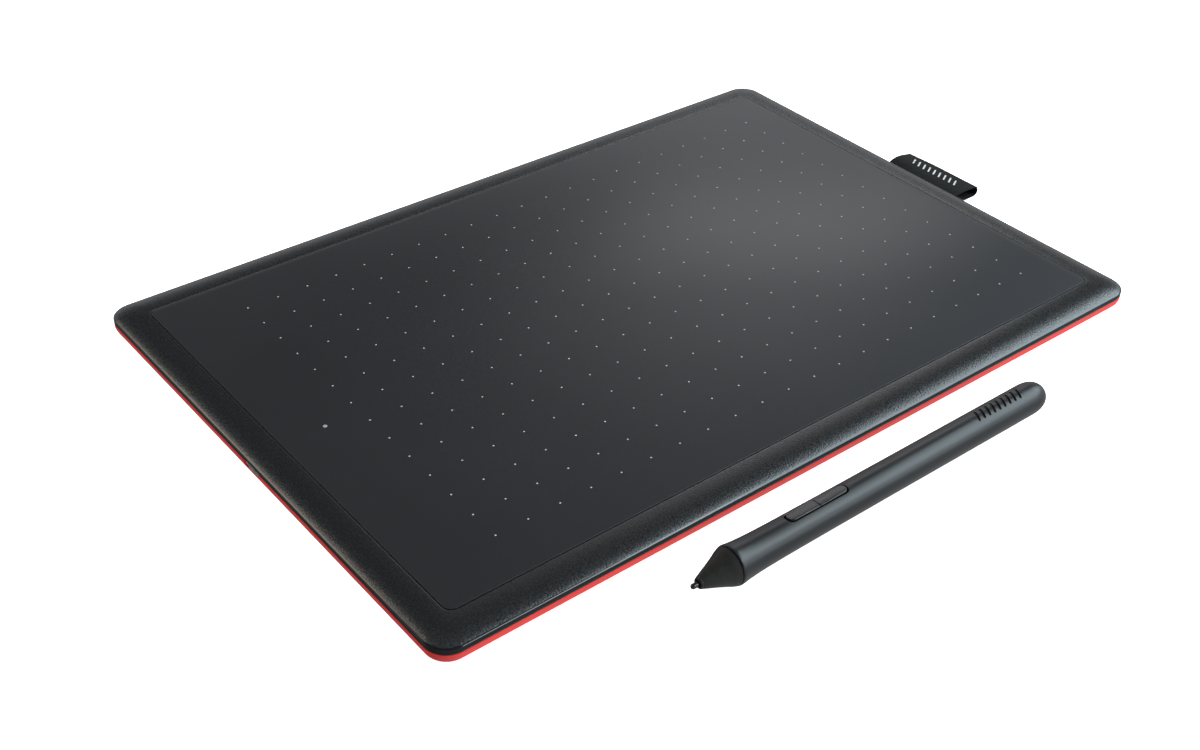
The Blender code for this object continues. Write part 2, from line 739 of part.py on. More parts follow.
def make_cone(mat, parent):
    back = SEAM - GAP / 2
    spigot_r = 4.15 * MM
    cavity_r = 3.45 * MM
    outer = [
        (spigot_r, 7.0 * MM),
        (spigot_r, back),
        (5.78 * MM, back),
        (5.25 * MM, -2.5 * MM),
        (4.71 * MM, -3.7 * MM),
        (4.18 * MM, -5.0 * MM),
        (3.26 * MM, -7.4 * MM),
        (2.37 * MM, -9.9 * MM),
        (1.9 * MM, -11.1 * MM),
        (1.62 * MM, -11.7 * MM),
        (1.45 * MM, -12.0 * MM),
    ]
    inner = [
        (NIB_R + GAP, -12.0 * MM),
        (NIB_R + GAP, -6.6 * MM),
        (2.5 * MM, -6.3 * MM),
        (2.5 * MM, -3.8 * MM),
        (cavity_r, -3.5 * MM),
        (cavity_r, 7.0 * MM),
    ]
    turned("pen_cone", outer + inner, mat, parent, rotation=ALONG, steps=PEN_STEPS)


def make_nib(mat, grey, parent):
    nib_end = 12.0 * MM
    profile = [(0, nib_end), (NIB_R, nib_end), (NIB_R, TIP + NIB_R)]
    tip_steps = 5
    for i in range(1, tip_steps + 1):
        angle = math.pi / 2 * i / tip_steps
        profile.append((NIB_R * math.cos(angle), TIP + NIB_R * (1 - math.sin(angle))))
    profile[-1] = (0, TIP)
    turned("nib", profile, mat, parent, rotation=ALONG, steps=20)
    holder = [
        (0, 14.0 * MM),
        (1.9 * MM, 14.0 * MM),
        (1.9 * MM, 8.8 * MM),
        (NIB_R + GAP, 8.8 * MM),
        (NIB_R + GAP, nib_end + GAP),
        (0, nib_end + GAP),
    ]
    turned("nib_holder", holder, grey, parent, rotation=ALONG, steps=20)


def make_pen_core(ferrite, copper, grey, parent):
    core = [
        (2.2 * MM, 8.0 * MM),
        (2.2 * MM, -6.0 * MM),
        (NIB_R + GAP, -6.0 * MM),
        (NIB_R + GAP, 8.0 * MM),
    ]
    turned("ferrite_core", core, ferrite, parent, rotation=ALONG, steps=20)
    coil = [(3.1 * MM, 6.0 * MM)]
    turns = 7
    low = -3.2 * MM
    pitch = (6.0 * MM - low) / turns
    for i in range(turns):
        top = 6.0 * MM - i * pitch
        coil.append((3.1 * MM, top - pitch * 0.6))
        coil.append((2.9 * MM, top - pitch * 0.8))
        coil.append((3.1 * MM, top - pitch))
    coil += [(2.5 * MM, low), (2.5 * MM, 6.0 * MM)]
    turned("pen_coil", coil, copper, parent, rotation=ALONG, steps=16)
    start = 14.0 * MM + NIB_TRAVEL + 0.4 * MM
    sensor = [
        (0, start + 5.6 * MM),
        (2.6 * MM, start + 5.6 * MM),
        (2.6 * MM, start + 0.4 * MM),
        (1.4 * MM, start),
        (0, start),
    ]
    turned("pressure_sensor", sensor, grey, parent, rotation=ALONG, steps=20)


def make_pen_inside(green, grey, black, steel, parent):
    chassis_out = BORE_R - GAP
    outline = arc((0, 0), chassis_out, chassis_out, 180, 360, 16)
    outline += arc((0, 0), 2.95 * MM, 2.95 * MM, 360, 180, 12)
    start = 8.2 * MM
    end = 112 * MM
    curve = plate_curve("pen_chassis", [outline], end - start)
    turn = (math.radians(90), 0, math.radians(90))
    piece("pen_chassis", curve, grey, parent, ((start + end) / 2, 0, 0), turn)

    board = box_mesh(
        "pen_board", (21.5 * MM, -2.9 * MM, PEN_BOARD_Z), (108 * MM, 2.9 * MM, PIVOT_Z - GAP)
    )
    piece("pen_board", board, green, parent)
    for tag, side in (("front", -1), ("rear", 1)):
        s = ROCKER_MID + side * SWITCH_FROM_MID
        low = (s - 1.5 * MM, -1.3 * MM, PIVOT_Z)
        high = (s + 1.5 * MM, 1.3 * MM, PIVOT_Z + SWITCH_HIGH)
        name = "tact_switch_" + tag
        obj = piece(name, box_mesh(name, low, high), steel, parent)
        bevel(obj, 0.12 * MM, 1)
    low = (56 * MM, -1.6 * MM, PIVOT_Z)
    high = (59.2 * MM, 1.6 * MM, PIVOT_Z + 1.2 * MM)
    tuner = piece("tuning_capacitor", box_mesh("tuning_capacitor", low, high), black, parent)
    bevel(tuner, 0.15 * MM, 1)


def rocker_section(x, lowered):
    """The rocker's outline across the pen at x from its middle, from its pivot upwards."""
    half_wide = ROCKER_WIDE / 2
    corner = half_wide * END_ROUND
    past = min(corner, max(0.0, abs(x) - (ROCKER_LONG / 2 - corner)))
    half = half_wide - corner + math.sqrt(corner**2 - past**2)
    edge = min(ROCKER_EDGE, half / 2)
    dip = ROCKER_DIP * math.cos(math.pi * x / ROCKER_LONG) ** 2 + lowered

    def crown(y):
        return ROCKER_TOP - y**2 / (2 * ROCKER_CROWN_R) - PIVOT_Z - dip

    across = 4
    top = [half - edge - 2 * (half - edge) * i / across for i in range(across + 1)]
    section = [(half, ROCKER_UNDER), (half, crown(half) - ROCKER_EDGE)]
    section += [(y, crown(y)) for y in top]
    section += [(-half, crown(half) - ROCKER_EDGE), (-half, ROCKER_UNDER)]
    return [(x, y, z) for y, z in section]


def make_rocker(mat, parent):
    """Rocking side switch: crowned top, a groove across its middle, nubs over the switches."""
    pivot = empty("rocker_pivot", (ROCKER_MID, 0, PIVOT_Z), parent=parent)
    end = ROCKER_LONG / 2
    inside = end - ROCKER_EDGE
    corner = ROCKER_WIDE / 2 * END_ROUND
    straight = end - corner
    half = [straight / 2, straight]
    half += [straight + corner * math.sin(math.radians(a)) for a in (18, 36, 50)]
    half += [inside]
    stations = [-x for x in reversed(half)] + [0] + half
    rings = [rocker_section(-end, ROCKER_EDGE)]
    rings += [rocker_section(x, 0) for x in stations]
    rings += [rocker_section(end, ROCKER_EDGE)]
    rocker = piece("side_switch", lofted("side_switch", rings), mat, pivot)

    root = ROCKER_UNDER + 0.4 * MM
    nub_low = SWITCH_HIGH + GAP + 0.33 * MM
    nub = 0.7 * MM
    adds = []
    for tag, side in (("front", -1), ("rear", 1)):
        s = side * SWITCH_FROM_MID
        mesh = box_mesh("nub", (s - nub, -nub, nub_low), (s + nub, nub, root))
        adds.append(piece("rocker_nub_" + tag, mesh, None, pivot))
    foot = (0.5 * MM, 1.2 * MM, 0.05 * MM)
    mesh = box_mesh("fulcrum", (-foot[0], -foot[1], foot[2]), (foot[0], foot[1], root))
    adds.append(piece("rocker_fulcrum", mesh, None, pivot))
    half_wide = ROCKER_WIDE / 2 + 1 * MM
    floor = ROCKER_TOP - PIVOT_Z - 0.5 * MM
    mesh = box_mesh(
        "groove", (-0.15 * MM, -half_wide, floor), (0.15 * MM, half_wide, floor + 3 * MM)
    )
    boolean(rocker, "UNION", adds, "nubs")
    boolean(rocker, "DIFFERENCE", [piece("rocker_groove", mesh, None, pivot)], "groove")


# ---------------------------------------------------------------- the object


def build():
    global parts, cutters
    clear_scene()
    parts = new_collection("pen_drawing_tablet")
    cutters = new_collection("cutters", hidden=True)

    black = material("black_plastic", (0.022, 0.022, 0.024), 0.5)
    sheet = material("drawing_surface", (0.045, 0.047, 0.05), 0.6)
    red = material("red_plastic", (0.72, 0.055, 0.045), 0.35)
    rubber = material("foot_rubber", (0.02, 0.02, 0.02), 0.8)
    steel = material("steel", (0.55, 0.56, 0.57), 0.3, 1.0)
    plate = material("shield_metal", (0.62, 0.63, 0.64), 0.4, 1.0)
    green = material("circuit_board", (0.012, 0.11, 0.045), 0.4)
    chip = material("chip_black", (0.018, 0.018, 0.018), 0.45)
    foam = material("foam", (0.03, 0.03, 0.033), 0.9)
    clear = material("clear_plastic", (0.85, 0.87, 0.9), 0.1)
    white = material("led_white", (0.85, 0.85, 0.8), 0.3)
    orange = material("flex_film", (0.62, 0.27, 0.05), 0.35)
    label = material("label_film", (0.6, 0.6, 0.58), 0.5)
    fabric = material("woven_tape", (0.02, 0.02, 0.021), 0.85)
    gunmetal = material("pen_gunmetal", (0.06, 0.063, 0.07), 0.35, 0.3)
    cone = material("cone_black", (0.018, 0.018, 0.019), 0.55)
    nib = material("nib_black", (0.012, 0.012, 0.012), 0.2)
    switch = material("switch_black", (0.016, 0.016, 0.017), 0.4)
    ferrite = material("ferrite", (0.05, 0.048, 0.047), 0.5)
    copper = material("copper_wire", (0.72, 0.33, 0.14), 0.3, 1.0)
    grey = material("inner_plastic", (0.35, 0.36, 0.37), 0.5)

    tablet = empty("tablet_centre", (TABLET_MID_X, TABLET_MID_Y, 0))
    make_upper_case(black, tablet)
    make_sheet(sheet, tablet)
    make_lower_case(red, tablet)
    make_feet(rubber, steel, tablet)
    make_label(label, tablet)
    make_boards(green, plate, foam, tablet)
    make_chips(chip, steel, white, clear, tablet)
    make_board_screws(steel, tablet)
    make_flex(chip, orange, tablet)
    make_usb(steel, chip, tablet)
    make_loop(fabric, chip, tablet)

    pitch = math.atan((FLARE_R - BARREL_R) / BARREL_STRAIGHT_END)
    place = (PEN_X + TABLET_MID_X, PEN_Y + TABLET_MID_Y, FLARE_R * math.cos(pitch))
    pen = empty("pen_flare", place, (0, pitch, PEN_YAW))
    rolled = empty("pen_roll", (0, 0, 0), (PEN_ROLL, 0, 0), pen)
    make_barrel(gunmetal, rolled)
    make_cone(cone, rolled)
    make_nib(nib, grey, rolled)
    make_pen_core(ferrite, copper, grey, rolled)
    make_pen_inside(green, grey, chip, steel, rolled)
    make_rocker(switch, rolled)


build()
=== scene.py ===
"""Looks of the pen drawing tablet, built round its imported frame. Metres, +Z up.

The tablet's pieces are made from its centre, and the pen's from its flare, the widest ring of the
barrel, with the pen's axis along local +X from nib to rear.
"""

import json
import math

import bmesh
import bpy
from mathutils import Matrix, Vector

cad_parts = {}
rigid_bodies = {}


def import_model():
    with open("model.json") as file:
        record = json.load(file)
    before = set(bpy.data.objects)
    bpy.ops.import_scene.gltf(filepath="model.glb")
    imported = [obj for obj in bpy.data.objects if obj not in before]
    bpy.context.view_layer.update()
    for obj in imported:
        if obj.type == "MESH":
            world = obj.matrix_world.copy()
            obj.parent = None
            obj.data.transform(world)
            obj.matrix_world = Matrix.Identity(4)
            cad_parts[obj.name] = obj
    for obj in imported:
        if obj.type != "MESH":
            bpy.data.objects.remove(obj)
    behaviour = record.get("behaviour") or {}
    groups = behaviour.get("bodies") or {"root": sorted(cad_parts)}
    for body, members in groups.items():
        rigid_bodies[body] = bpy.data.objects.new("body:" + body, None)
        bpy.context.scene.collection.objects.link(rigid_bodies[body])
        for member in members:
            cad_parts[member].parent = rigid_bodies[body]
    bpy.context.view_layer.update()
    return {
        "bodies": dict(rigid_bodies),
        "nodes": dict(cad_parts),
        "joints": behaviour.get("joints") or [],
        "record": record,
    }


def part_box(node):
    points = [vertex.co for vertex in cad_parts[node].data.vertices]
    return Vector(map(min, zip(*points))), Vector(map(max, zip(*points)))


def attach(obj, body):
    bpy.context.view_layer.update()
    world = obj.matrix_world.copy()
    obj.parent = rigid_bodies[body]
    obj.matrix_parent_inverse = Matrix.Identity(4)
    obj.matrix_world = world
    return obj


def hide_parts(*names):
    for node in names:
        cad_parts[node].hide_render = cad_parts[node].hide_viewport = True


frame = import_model()

MM = 0.001
GAP = 0.3 * MM

# ---------------------------------------------------------------- places, from the frame

case_low, case_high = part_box("upper_case")
tray_low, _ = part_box("lower_case")
sheet_low, sheet_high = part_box("drawing_sheet")
loop_low, loop_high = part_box("pen_loop")

CENTRE = Vector(((case_low.x + case_high.x) / 2, (case_low.y + case_high.y) / 2, 0))
CASE_HALF = ((case_high.x - case_low.x) / 2, (case_high.y - case_low.y) / 2)
CASE_R = 7.3 * MM
CASE_EDGE = 5.2 * MM  # the parting line, where the upper case's wall ends
EDGE_Z = 6.75 * MM  # the rim's crisp outer edge
WALL_TOP = EDGE_Z - 0.3 * MM
RIM_TOP = case_high.z
SHEET_HALF = ((sheet_high.x - sheet_low.x) / 2, (sheet_high.y - sheet_low.y) / 2)
SHEET_R = 2.7 * MM
SHEET_TOP = sheet_high.z
SHEET_UNDER = sheet_low.z
LOOP_Z = 5.7 * MM
UNDERSIDE = tray_low.z
CORNER_STEPS = 20

JOINTS = {joint["name"]: joint for joint in frame["joints"]}
PEN_ALONG = Vector(JOINTS["nib_press"]["axis"]).normalized()
PEN_ACROSS = Vector(JOINTS["side_switch_rock"]["axis"]).normalized()
PEN_UP = PEN_ALONG.cross(PEN_ACROSS)
PIVOT = Vector(JOINTS["side_switch_rock"]["pos_m"])
ROCKER_MID = 31.3 * MM  # from the flare, along the pen
PIVOT_Z = 1.4 * MM  # above the pen's axis
FLARE = PIVOT - PEN_ALONG * ROCKER_MID - PEN_UP * PIVOT_Z
PEN = Matrix.Translation(FLARE) @ Matrix((PEN_ALONG, PEN_ACROSS, PEN_UP)).transposed().to_4x4()
TABLET = Matrix.Translation(CENTRE)


# ---------------------------------------------------------------- mesh helpers


def mesh_object(name, bm, mat, place, body, replaces=(), smooth_angle=35):
    """A piece built in place's frame, with its mesh moved there so that the piece has no turn."""
    bm.transform(place)
    bmesh.ops.recalc_face_normals(bm, faces=bm.faces)
    mesh = bpy.data.meshes.new(name)
    bm.to_mesh(mesh)
    bm.free()
    mesh.shade_smooth()
    mesh.set_sharp_from_angle(angle=math.radians(smooth_angle))
    mesh.materials.append(mat)
    obj = bpy.data.objects.new(name, mesh)
    bpy.context.scene.collection.objects.link(obj)
    if body:
        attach(obj, body)
    if replaces:
        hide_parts(*replaces)
    return obj


def loft(bm, rings, caps=(True, True)):
    """Quads between closed rings of the same number of points, with flat caps on the end ones."""
    loops = [[bm.verts.new(point) for point in ring] for ring in rings]
    count = len(loops[0])
    for loop, above in zip(loops, loops[1:]):
        for i in range(count):
            j = (i + 1) % count
            bm.faces.new((loop[i], loop[j], above[j], above[i]))
    for loop, capped in zip((loops[0], loops[-1]), caps):
        if capped:
            bm.faces.new(loop)
    return loops


def arc(centre, radius, start, end, steps):
    """Points of a circle's arc, with angles in degrees."""
    angles = [math.radians(start + (end - start) * i / steps) for i in range(steps + 1)]
    return [(centre[0] + radius * math.cos(a), centre[1] + radius * math.sin(a)) for a in angles]


def rounded_rectangle(half_x, half_y, radius, steps=CORNER_STEPS):
    """Points round a rectangle about the origin, anticlockwise from its right side."""
    points = []
    for turn, (sx, sy) in enumerate(((1, 1), (-1, 1), (-1, -1), (1, -1))):
        corner = (sx * (half_x - radius), sy * (half_y - radius))
        points += arc(corner, radius, turn * 90, turn * 90 + 90, steps)
    return points


def case_rings(sections, steps=CORNER_STEPS):
    """Rounded rectangles, each given as (half_x, half_y, radius, z)."""
    return [
        [(x, y, z) for x, y in rounded_rectangle(half_x, half_y, radius, steps)]
        for half_x, half_y, radius, z in sections
    ]


def turned_rings(profile, steps):
    """Rings round the X axis, from (radius, x) points."""
    angles = [2 * math.pi * i / steps for i in range(steps)]
    return [[(x, r * math.cos(a), r * math.sin(a)) for a in angles] for r, x in profile]


def turned_mesh(bm, profile, steps):
    """A solid turned round X. A profile that starts off the axis is joined end to end."""
    rings = turned_rings([point for point in profile if point[0] > 0], steps)
    loops = loft(bm, rings, caps=(False, False))
    for loop, (radius, x) in ((loops[0], profile[0]), (loops[-1], profile[-1])):
        if radius == 0:
            tip = bm.verts.new((x, 0, 0))
            for i in range(steps):
                bm.faces.new((loop[i], loop[(i + 1) % steps], tip))
    if profile[0][0] > 0:
        for i in range(steps):
            j = (i + 1) % steps
            bm.faces.new((loops[0][i], loops[0][j], loops[-1][j], loops[-1][i]))


def box_into(bm, low, high):
    """Adds a box to bm and returns its corners, for the caller to bevel."""
    geometry = bmesh.ops.create_cube(bm, size=1.0)
    size = Vector(high) - Vector(low)
    middle = (Vector(high) + Vector(low)) / 2
    for vert in geometry["verts"]:
        vert.co = Vector(a * b for a, b in zip(vert.co, size)) + middle
    return geometry["verts"]


def cut(obj, make_tool, place):
    """Cuts obj with what make_tool(bm) builds in place's frame, and applies the result."""
    bm = bmesh.new()
    make_tool(bm)
    bm.transform(place)
    bmesh.ops.recalc_face_normals(bm, faces=bm.faces)
    mesh = bpy.data.meshes.new("cutter")
    bm.to_mesh(mesh)
    bm.free()
    tool = bpy.data.objects.new("cutter", mesh)
    bpy.context.scene.collection.objects.link(tool)
    modifier = obj.modifiers.new("Cut", "BOOLEAN")
    modifier.operation = "DIFFERENCE"
    modifier.object = tool
    modifier.solver = "EXACT"
    bpy.context.view_layer.update()
    graph = bpy.context.evaluated_depsgraph_get()
    result = bpy.data.meshes.new_from_object(obj.evaluated_get(graph))
    obj.modifiers.clear()
    obj.data = result
    bpy.data.objects.remove(tool, do_unlink=True)
    result.shade_smooth()
    result.set_sharp_from_angle(angle=math.radians(35))


# ---------------------------------------------------------------- materials

WAVE_PERIOD = 0.314159  # of the wave texture at scale 1; as its scale, it gives one band a unit


class Look:
    """A material being built, with its texture coordinates in the given frame."""

    def __init__(self, name, colour, roughness, frame=None, **sockets):
        self.mat = bpy.data.materials.new(name)
        self.mat.use_nodes = True
        self.tree = self.mat.node_tree
        self.shader = self.tree.nodes["Principled BSDF"]
        self.shader.inputs["Base Color"].default_value = (*colour, 1)
        self.shader.inputs["Roughness"].default_value = roughness
        for socket, value in sockets.items():
            self.shader.inputs[socket.replace("_", " ")].default_value = value
        self.coords = self.node("ShaderNodeTexCoord").outputs["Object"]
        if frame:
            inputs = {"Vector": self.coords, "Location": frame.translation}
            inputs["Rotation"] = frame.to_euler()
            mapping = self.node("ShaderNodeMapping", inputs, vector_type="TEXTURE")
            self.coords = mapping.outputs[0]

    def node(self, kind, inputs=None, **settings):
        """Adds a node. Each input is a value or another node's output."""
        made = self.tree.nodes.new(kind)
        for key, value in settings.items():
            setattr(made, key, value)
        for key, value in (inputs or {}).items():
            if isinstance(value, bpy.types.NodeSocket):
                self.tree.links.new(value, made.inputs[key])
            else:
                made.inputs[key].default_value = value
        return made

    def scaled(self, scale):
        """The object coordinates in units of scale, given along X, Y and Z."""
        inverse = tuple(1 / length for length in scale)
        return self.node("ShaderNodeMapping", {"Vector": self.coords, "Scale": inverse}).outputs[0]

    def noise(self, size, detail=2.0, rough=0.5):
        """Noise whose features are about size across, one length or three along the axes."""
        scale = size if isinstance(size, tuple) else (size, size, size)
        made = self.node(
            "ShaderNodeTexNoise",
            {"Vector": self.scaled(scale), "Scale": 1.0, "Detail": detail, "Roughness": rough},
        )
        return made.outputs["Fac"]

    def cells(self, size):
        inputs = {"Vector": self.scaled((size, size, size)), "Scale": 1.0}
        return self.node("ShaderNodeTexVoronoi", inputs).outputs["Distance"]

    def wave(self, size, direction):
        """Soft bands that cross the given axis, one every size."""
        inputs = {"Vector": self.scaled((size, size, size)), "Scale": WAVE_PERIOD}
        return self.node("ShaderNodeTexWave", inputs, bands_direction=direction).outputs["Fac"]

    def combine(self, kind, first, second):
        return self.node("ShaderNodeMath", {0: first, 1: second}, operation=kind).outputs[0]

    def span(self, factor, low, high, from_low=0.3, from_high=0.7):
        """A factor rescaled to run from low to high, and held there."""
        inputs = {"Value": factor, "From Min": from_low, "From Max": from_high}
        inputs.update({"To Min": low, "To Max": high})
        return self.node("ShaderNodeMapRange", inputs).outputs[0]

    def paint(self, factor, dark, light, from_low=0.3, from_high=0.7):
        """Colours the surface from dark to light as factor goes from from_low to from_high."""
        part = self.span(factor, 0, 1, from_low, from_high)
        inputs = {0: part, 6: (*dark, 1), 7: (*light, 1)}
        mix = self.node("ShaderNodeMix", inputs, data_type="RGBA")
        self.tree.links.new(mix.outputs[2], self.shader.inputs["Base Color"])

    def roughen(self, factor, low, high):
        self.tree.links.new(self.span(factor, low, high), self.shader.inputs["Roughness"])

    def bump(self, height, depth, strength=1.0):
        """Raises the surface by up to depth where height is 1. Later calls add to earlier ones."""
        inputs = {"Height": height, "Distance": depth, "Strength": strength}
        normal = self.shader.inputs["Normal"]
        if normal.links:
            inputs["Normal"] = normal.links[0].from_socket
        made = self.node("ShaderNodeBump", inputs)
        self.tree.links.new(made.outputs[0], normal)


def moulded(name, dark, light, grain, depth, gloss, patch=14 * MM, **sockets):
    """Moulded plastic or rubber with a spark-eroded grain; gloss is (lowest, highest) roughness."""
    look = Look(name, light, gloss[1], **sockets)
    fine = look.noise(grain, 3.0, 0.6)
    look.paint(look.noise(patch, 3.0), dark, light)
    look.roughen(fine, *gloss)
    look.bump(fine, depth)
    return look.mat


POLISHED = 0.12
# Heights where the grain and its painted glints are full, and where they have faded.
GRAIN_AND_GLINT_FULL_Z = 7.3 * MM
GRAIN_AND_GLINT_FADED_Z = 8.5 * MM


def make_rim_black():
    """Grain that is deepest low on the rim and fades towards the sheet, with a polished edge; the
    grain's light specks are partly its own tone and partly painted glints, which fade towards the
    sheet.
    """
    look = Look("rim_black", (0.015, 0.0165, 0.018), 0.28, Specular_IOR_Level=0.5)
    height = look.node("ShaderNodeSeparateXYZ", {0: look.coords}).outputs["Z"]
    grained = look.span(height, 0, 1, EDGE_Z + 0.2 * MM, EDGE_Z + 0.32 * MM)
    grain = look.noise(0.52 * MM, 2.0, 0.6)
    # Painted highlight: the light specks fade out towards the sheet, where no highlight falls; the
    # same fade thins the grain's bump.
    fade = look.span(height, 1, 0.25, GRAIN_AND_GLINT_FULL_Z, GRAIN_AND_GLINT_FADED_Z)
    grain_and_glint_mask = look.combine("MULTIPLY", grained, fade)
    grain_tone_and_painted_glint = look.combine("MULTIPLY", grain_and_glint_mask, grain)
    # Painted glint: the grain's light specks stand in for glints of light low on the rim, partly
    # the grain's own tone.
    look.paint(grain_tone_and_painted_glint, (0.009, 0.0097, 0.0106), (0.021, 0.0227, 0.0249), 0.2, 0.6)
    extra = look.combine("MULTIPLY", grained, look.span(grain, 0.08, 0.24))
    look.tree.links.new(look.combine("ADD", POLISHED, extra), look.shader.inputs["Roughness"])
    look.bump(grain, 0.11 * MM, grain_and_glint_mask)
    return look.mat


def make_printed_ink():
    look = Look("printed_ink", (0.36, 0.365, 0.37), 0.6)
    look.paint(look.noise(0.12 * MM), (0.3, 0.305, 0.31), (0.42, 0.425, 0.43))
    return look.mat


def make_lamp_window():
    look = Look("lamp_window", (0.26, 0.27, 0.28), 0.3)
    look.paint(look.noise(0.5 * MM), (0.22, 0.23, 0.24), (0.3, 0.31, 0.32))
    return look.mat


def make_weave(name, dark, light, sheen):
    """Fine twill tape: ribs that run across the fold, crossed by finer threads."""
    look = Look(
        name, light, 0.85, Sheen_Weight=sheen, Sheen_Roughness=0.4, Specular_IOR_Level=0.25
    )
    ribs = look.wave(0.62 * MM, "DIAGONAL")
    threads = look.wave(0.4 * MM, "Y")
    both = look.combine("MULTIPLY", ribs, look.span(threads, 0.45, 1, 0, 1))
    mottle = look.combine("MULTIPLY", both, look.span(look.noise(1.5 * MM), 0.7, 1))
    look.paint(mottle, dark, light, 0.1, 0.9)
    look.roughen(look.noise(0.3 * MM), 0.75, 0.95)
    look.bump(both, 0.09 * MM)
    return look.mat


def make_cone_black():
    """Matt black with a coarse grain, and fine rings round the pen's axis."""
    look = Look("cone_black", (0.012, 0.0112, 0.0105), 0.55, PEN, Specular_IOR_Level=0.35)
    grain = look.noise(0.32 * MM, 3.0, 0.6)
    look.paint(look.noise(0.7 * MM, 3.0), (0.006, 0.0055, 0.0052), (0.012, 0.0112, 0.0105))
    look.roughen(grain, 0.42, 0.55)
    look.bump(grain, 0.03 * MM)
    look.bump(look.wave(0.32 * MM, "X"), 0.012 * MM)
    return look.mat


def make_switch_black():
    """Glossy moulding with fine lines along its length."""
    look = Look("switch_black", (0.007, 0.007, 0.0075), 0.3, PEN)
    lines = look.noise((9 * MM, 0.16 * MM, 0.16 * MM), 2.0)
    look.paint(lines, (0.004, 0.004, 0.0043), (0.009, 0.009, 0.0095))
    look.roughen(lines, 0.22, 0.34)
    look.bump(lines, 0.02 * MM)
    return look.mat


def make_metal(name, colour, stretch, roughness=(0.22, 0.4)):
    """Rolled or drawn metal: fine streaks along one axis."""
    look = Look(name, colour, roughness[1], Metallic=1.0)
    streaks = look.noise(stretch, 3.0)
    dark = tuple(c * 0.82 for c in colour)
    look.paint(streaks, dark, colour)
    look.roughen(streaks, *roughness)
    look.bump(streaks, 0.004 * MM)
    return look.mat


def make_circuit_board():
    """Solder mask over a grid of copper tracks, which show as raised, lighter lines."""
    look = Look("solder_mask", (0.01, 0.1, 0.04), 0.35, Coat_Weight=0.3, Coat_Roughness=0.2)
    lengthways = look.wave(2.6 * MM, "X")
    crossways = look.wave(2.6 * MM, "Y")
    tracks = look.combine("MAXIMUM", lengthways, crossways)
    look.paint(tracks, (0.006, 0.07, 0.026), (0.02, 0.17, 0.065), 0.9, 0.97)
    look.bump(look.span(tracks, 0, 1, 0.9, 0.97), 0.03 * MM)
    return look.mat


def make_foam():
    look = Look("foam", (0.03, 0.03, 0.033), 0.95)
    pores = look.cells(0.6 * MM)
    look.paint(pores, (0.012, 0.012, 0.013), (0.045, 0.045, 0.048), 0.05, 0.6)
    look.bump(pores, 0.25 * MM)
    return look.mat


def make_coil_wire():
    look = Look("coil_wire", (0.7, 0.32, 0.13), 0.3, PEN, Metallic=1.0)
    turns = look.wave(0.12 * MM, "X")
    look.paint(turns, (0.42, 0.16, 0.05), (0.78, 0.38, 0.17), 0.1, 0.8)
    look.bump(turns, 0.04 * MM)
    return look.mat


def make_flex_film():
    look = Look("flex_film", (0.55, 0.24, 0.045), 0.35, Coat_Weight=0.2)
    tracks = look.wave(0.9 * MM, "Y")
    look.paint(tracks, (0.4, 0.16, 0.03), (0.66, 0.33, 0.08), 0.6, 0.8)
    look.bump(tracks, 0.01 * MM)
    return look.mat


def make_clear_pipe():
    look = Look("clear_pipe", (0.9, 0.92, 0.95), 0.08, Transmission_Weight=0.9, IOR=1.49)
    look.roughen(look.noise(0.8 * MM), 0.05, 0.12)
    return look.mat


def make_floor_white():
    look = Look("floor_white", (0.93, 0.93, 0.93), 0.9, Specular_IOR_Level=0.1)
    look.shader.inputs["Emission Color"].default_value = (1, 1, 1, 1)
    look.shader.inputs["Emission Strength"].default_value = 1.0
    look.paint(look.noise(0.4), (0.92, 0.92, 0.92), (0.94, 0.94, 0.94))
    return look.mat


RIM = make_rim_black()
# The wall below the rim's edge: matt black, darker and less reflective than the rim, partly painted
# shade of the undercut above the tray.
WALL_BLACK_AND_PAINTED_SHADE = moulded(
    "wall_black_painted_shade",
    (0.006, 0.0058, 0.0056),
    (0.01, 0.0096, 0.0092),
    0.5 * MM,
    0.01 * MM,
    (0.3, 0.45),
    Specular_IOR_Level=0.15,
)
FILM = moulded(
    "sheet_film",
    (0.0138, 0.0146, 0.0168),
    (0.0154, 0.0164, 0.0188),
    0.16 * MM,
    0.003 * MM,
    (0.32, 0.37),
    45 * MM,
    Specular_IOR_Level=0.5,
)
RED = moulded(
    "red_tray",
    (0.74, 0.027, 0.022),
    (0.8, 0.034, 0.027),
    0.3 * MM,
    0.006 * MM,
    (0.3, 0.38),
    30 * MM,
    Specular_IOR_Level=0.5,
)
INK = make_printed_ink()
LAMP = make_lamp_window()
TAPE_BLACK = make_weave("tape_black", (0.003, 0.003, 0.003), (0.009, 0.009, 0.009), 0.02)
THREAD = make_weave("thread_grey", (0.4, 0.4, 0.4), (0.66, 0.66, 0.65), 0.2)
GUNMETAL = moulded(
    "gunmetal_coat",
    (0.005, 0.0055, 0.0062),
    (0.008, 0.0086, 0.0095),
    0.22 * MM,
    0.007 * MM,
    (0.32, 0.4),
    20 * MM,
    frame=PEN,
    Specular_IOR_Level=0.42,
)
CONE = make_cone_black()
NIB = moulded(
    "nib_black", (0.006, 0.006, 0.006), (0.009, 0.009, 0.0095), 0.4 * MM, 0.002 * MM, (0.1, 0.2)
)
SWITCH = make_switch_black()
RUBBER = moulded(
    "foot_rubber",
    (0.014, 0.014, 0.0145),
    (0.024, 0.024, 0.025),
    0.3 * MM,
    0.03 * MM,
    (0.7, 0.88),
    5 * MM,
)
LABEL = moulded(
    "label_film", (0.5, 0.5, 0.49), (0.56, 0.56, 0.55), 0.3 * MM, 0.002 * MM, (0.4, 0.5), 12 * MM
)
SOCKET_STEEL = make_metal("socket_steel", (0.72, 0.71, 0.69), (1.5 * MM, 0.1 * MM, 0.1 * MM))
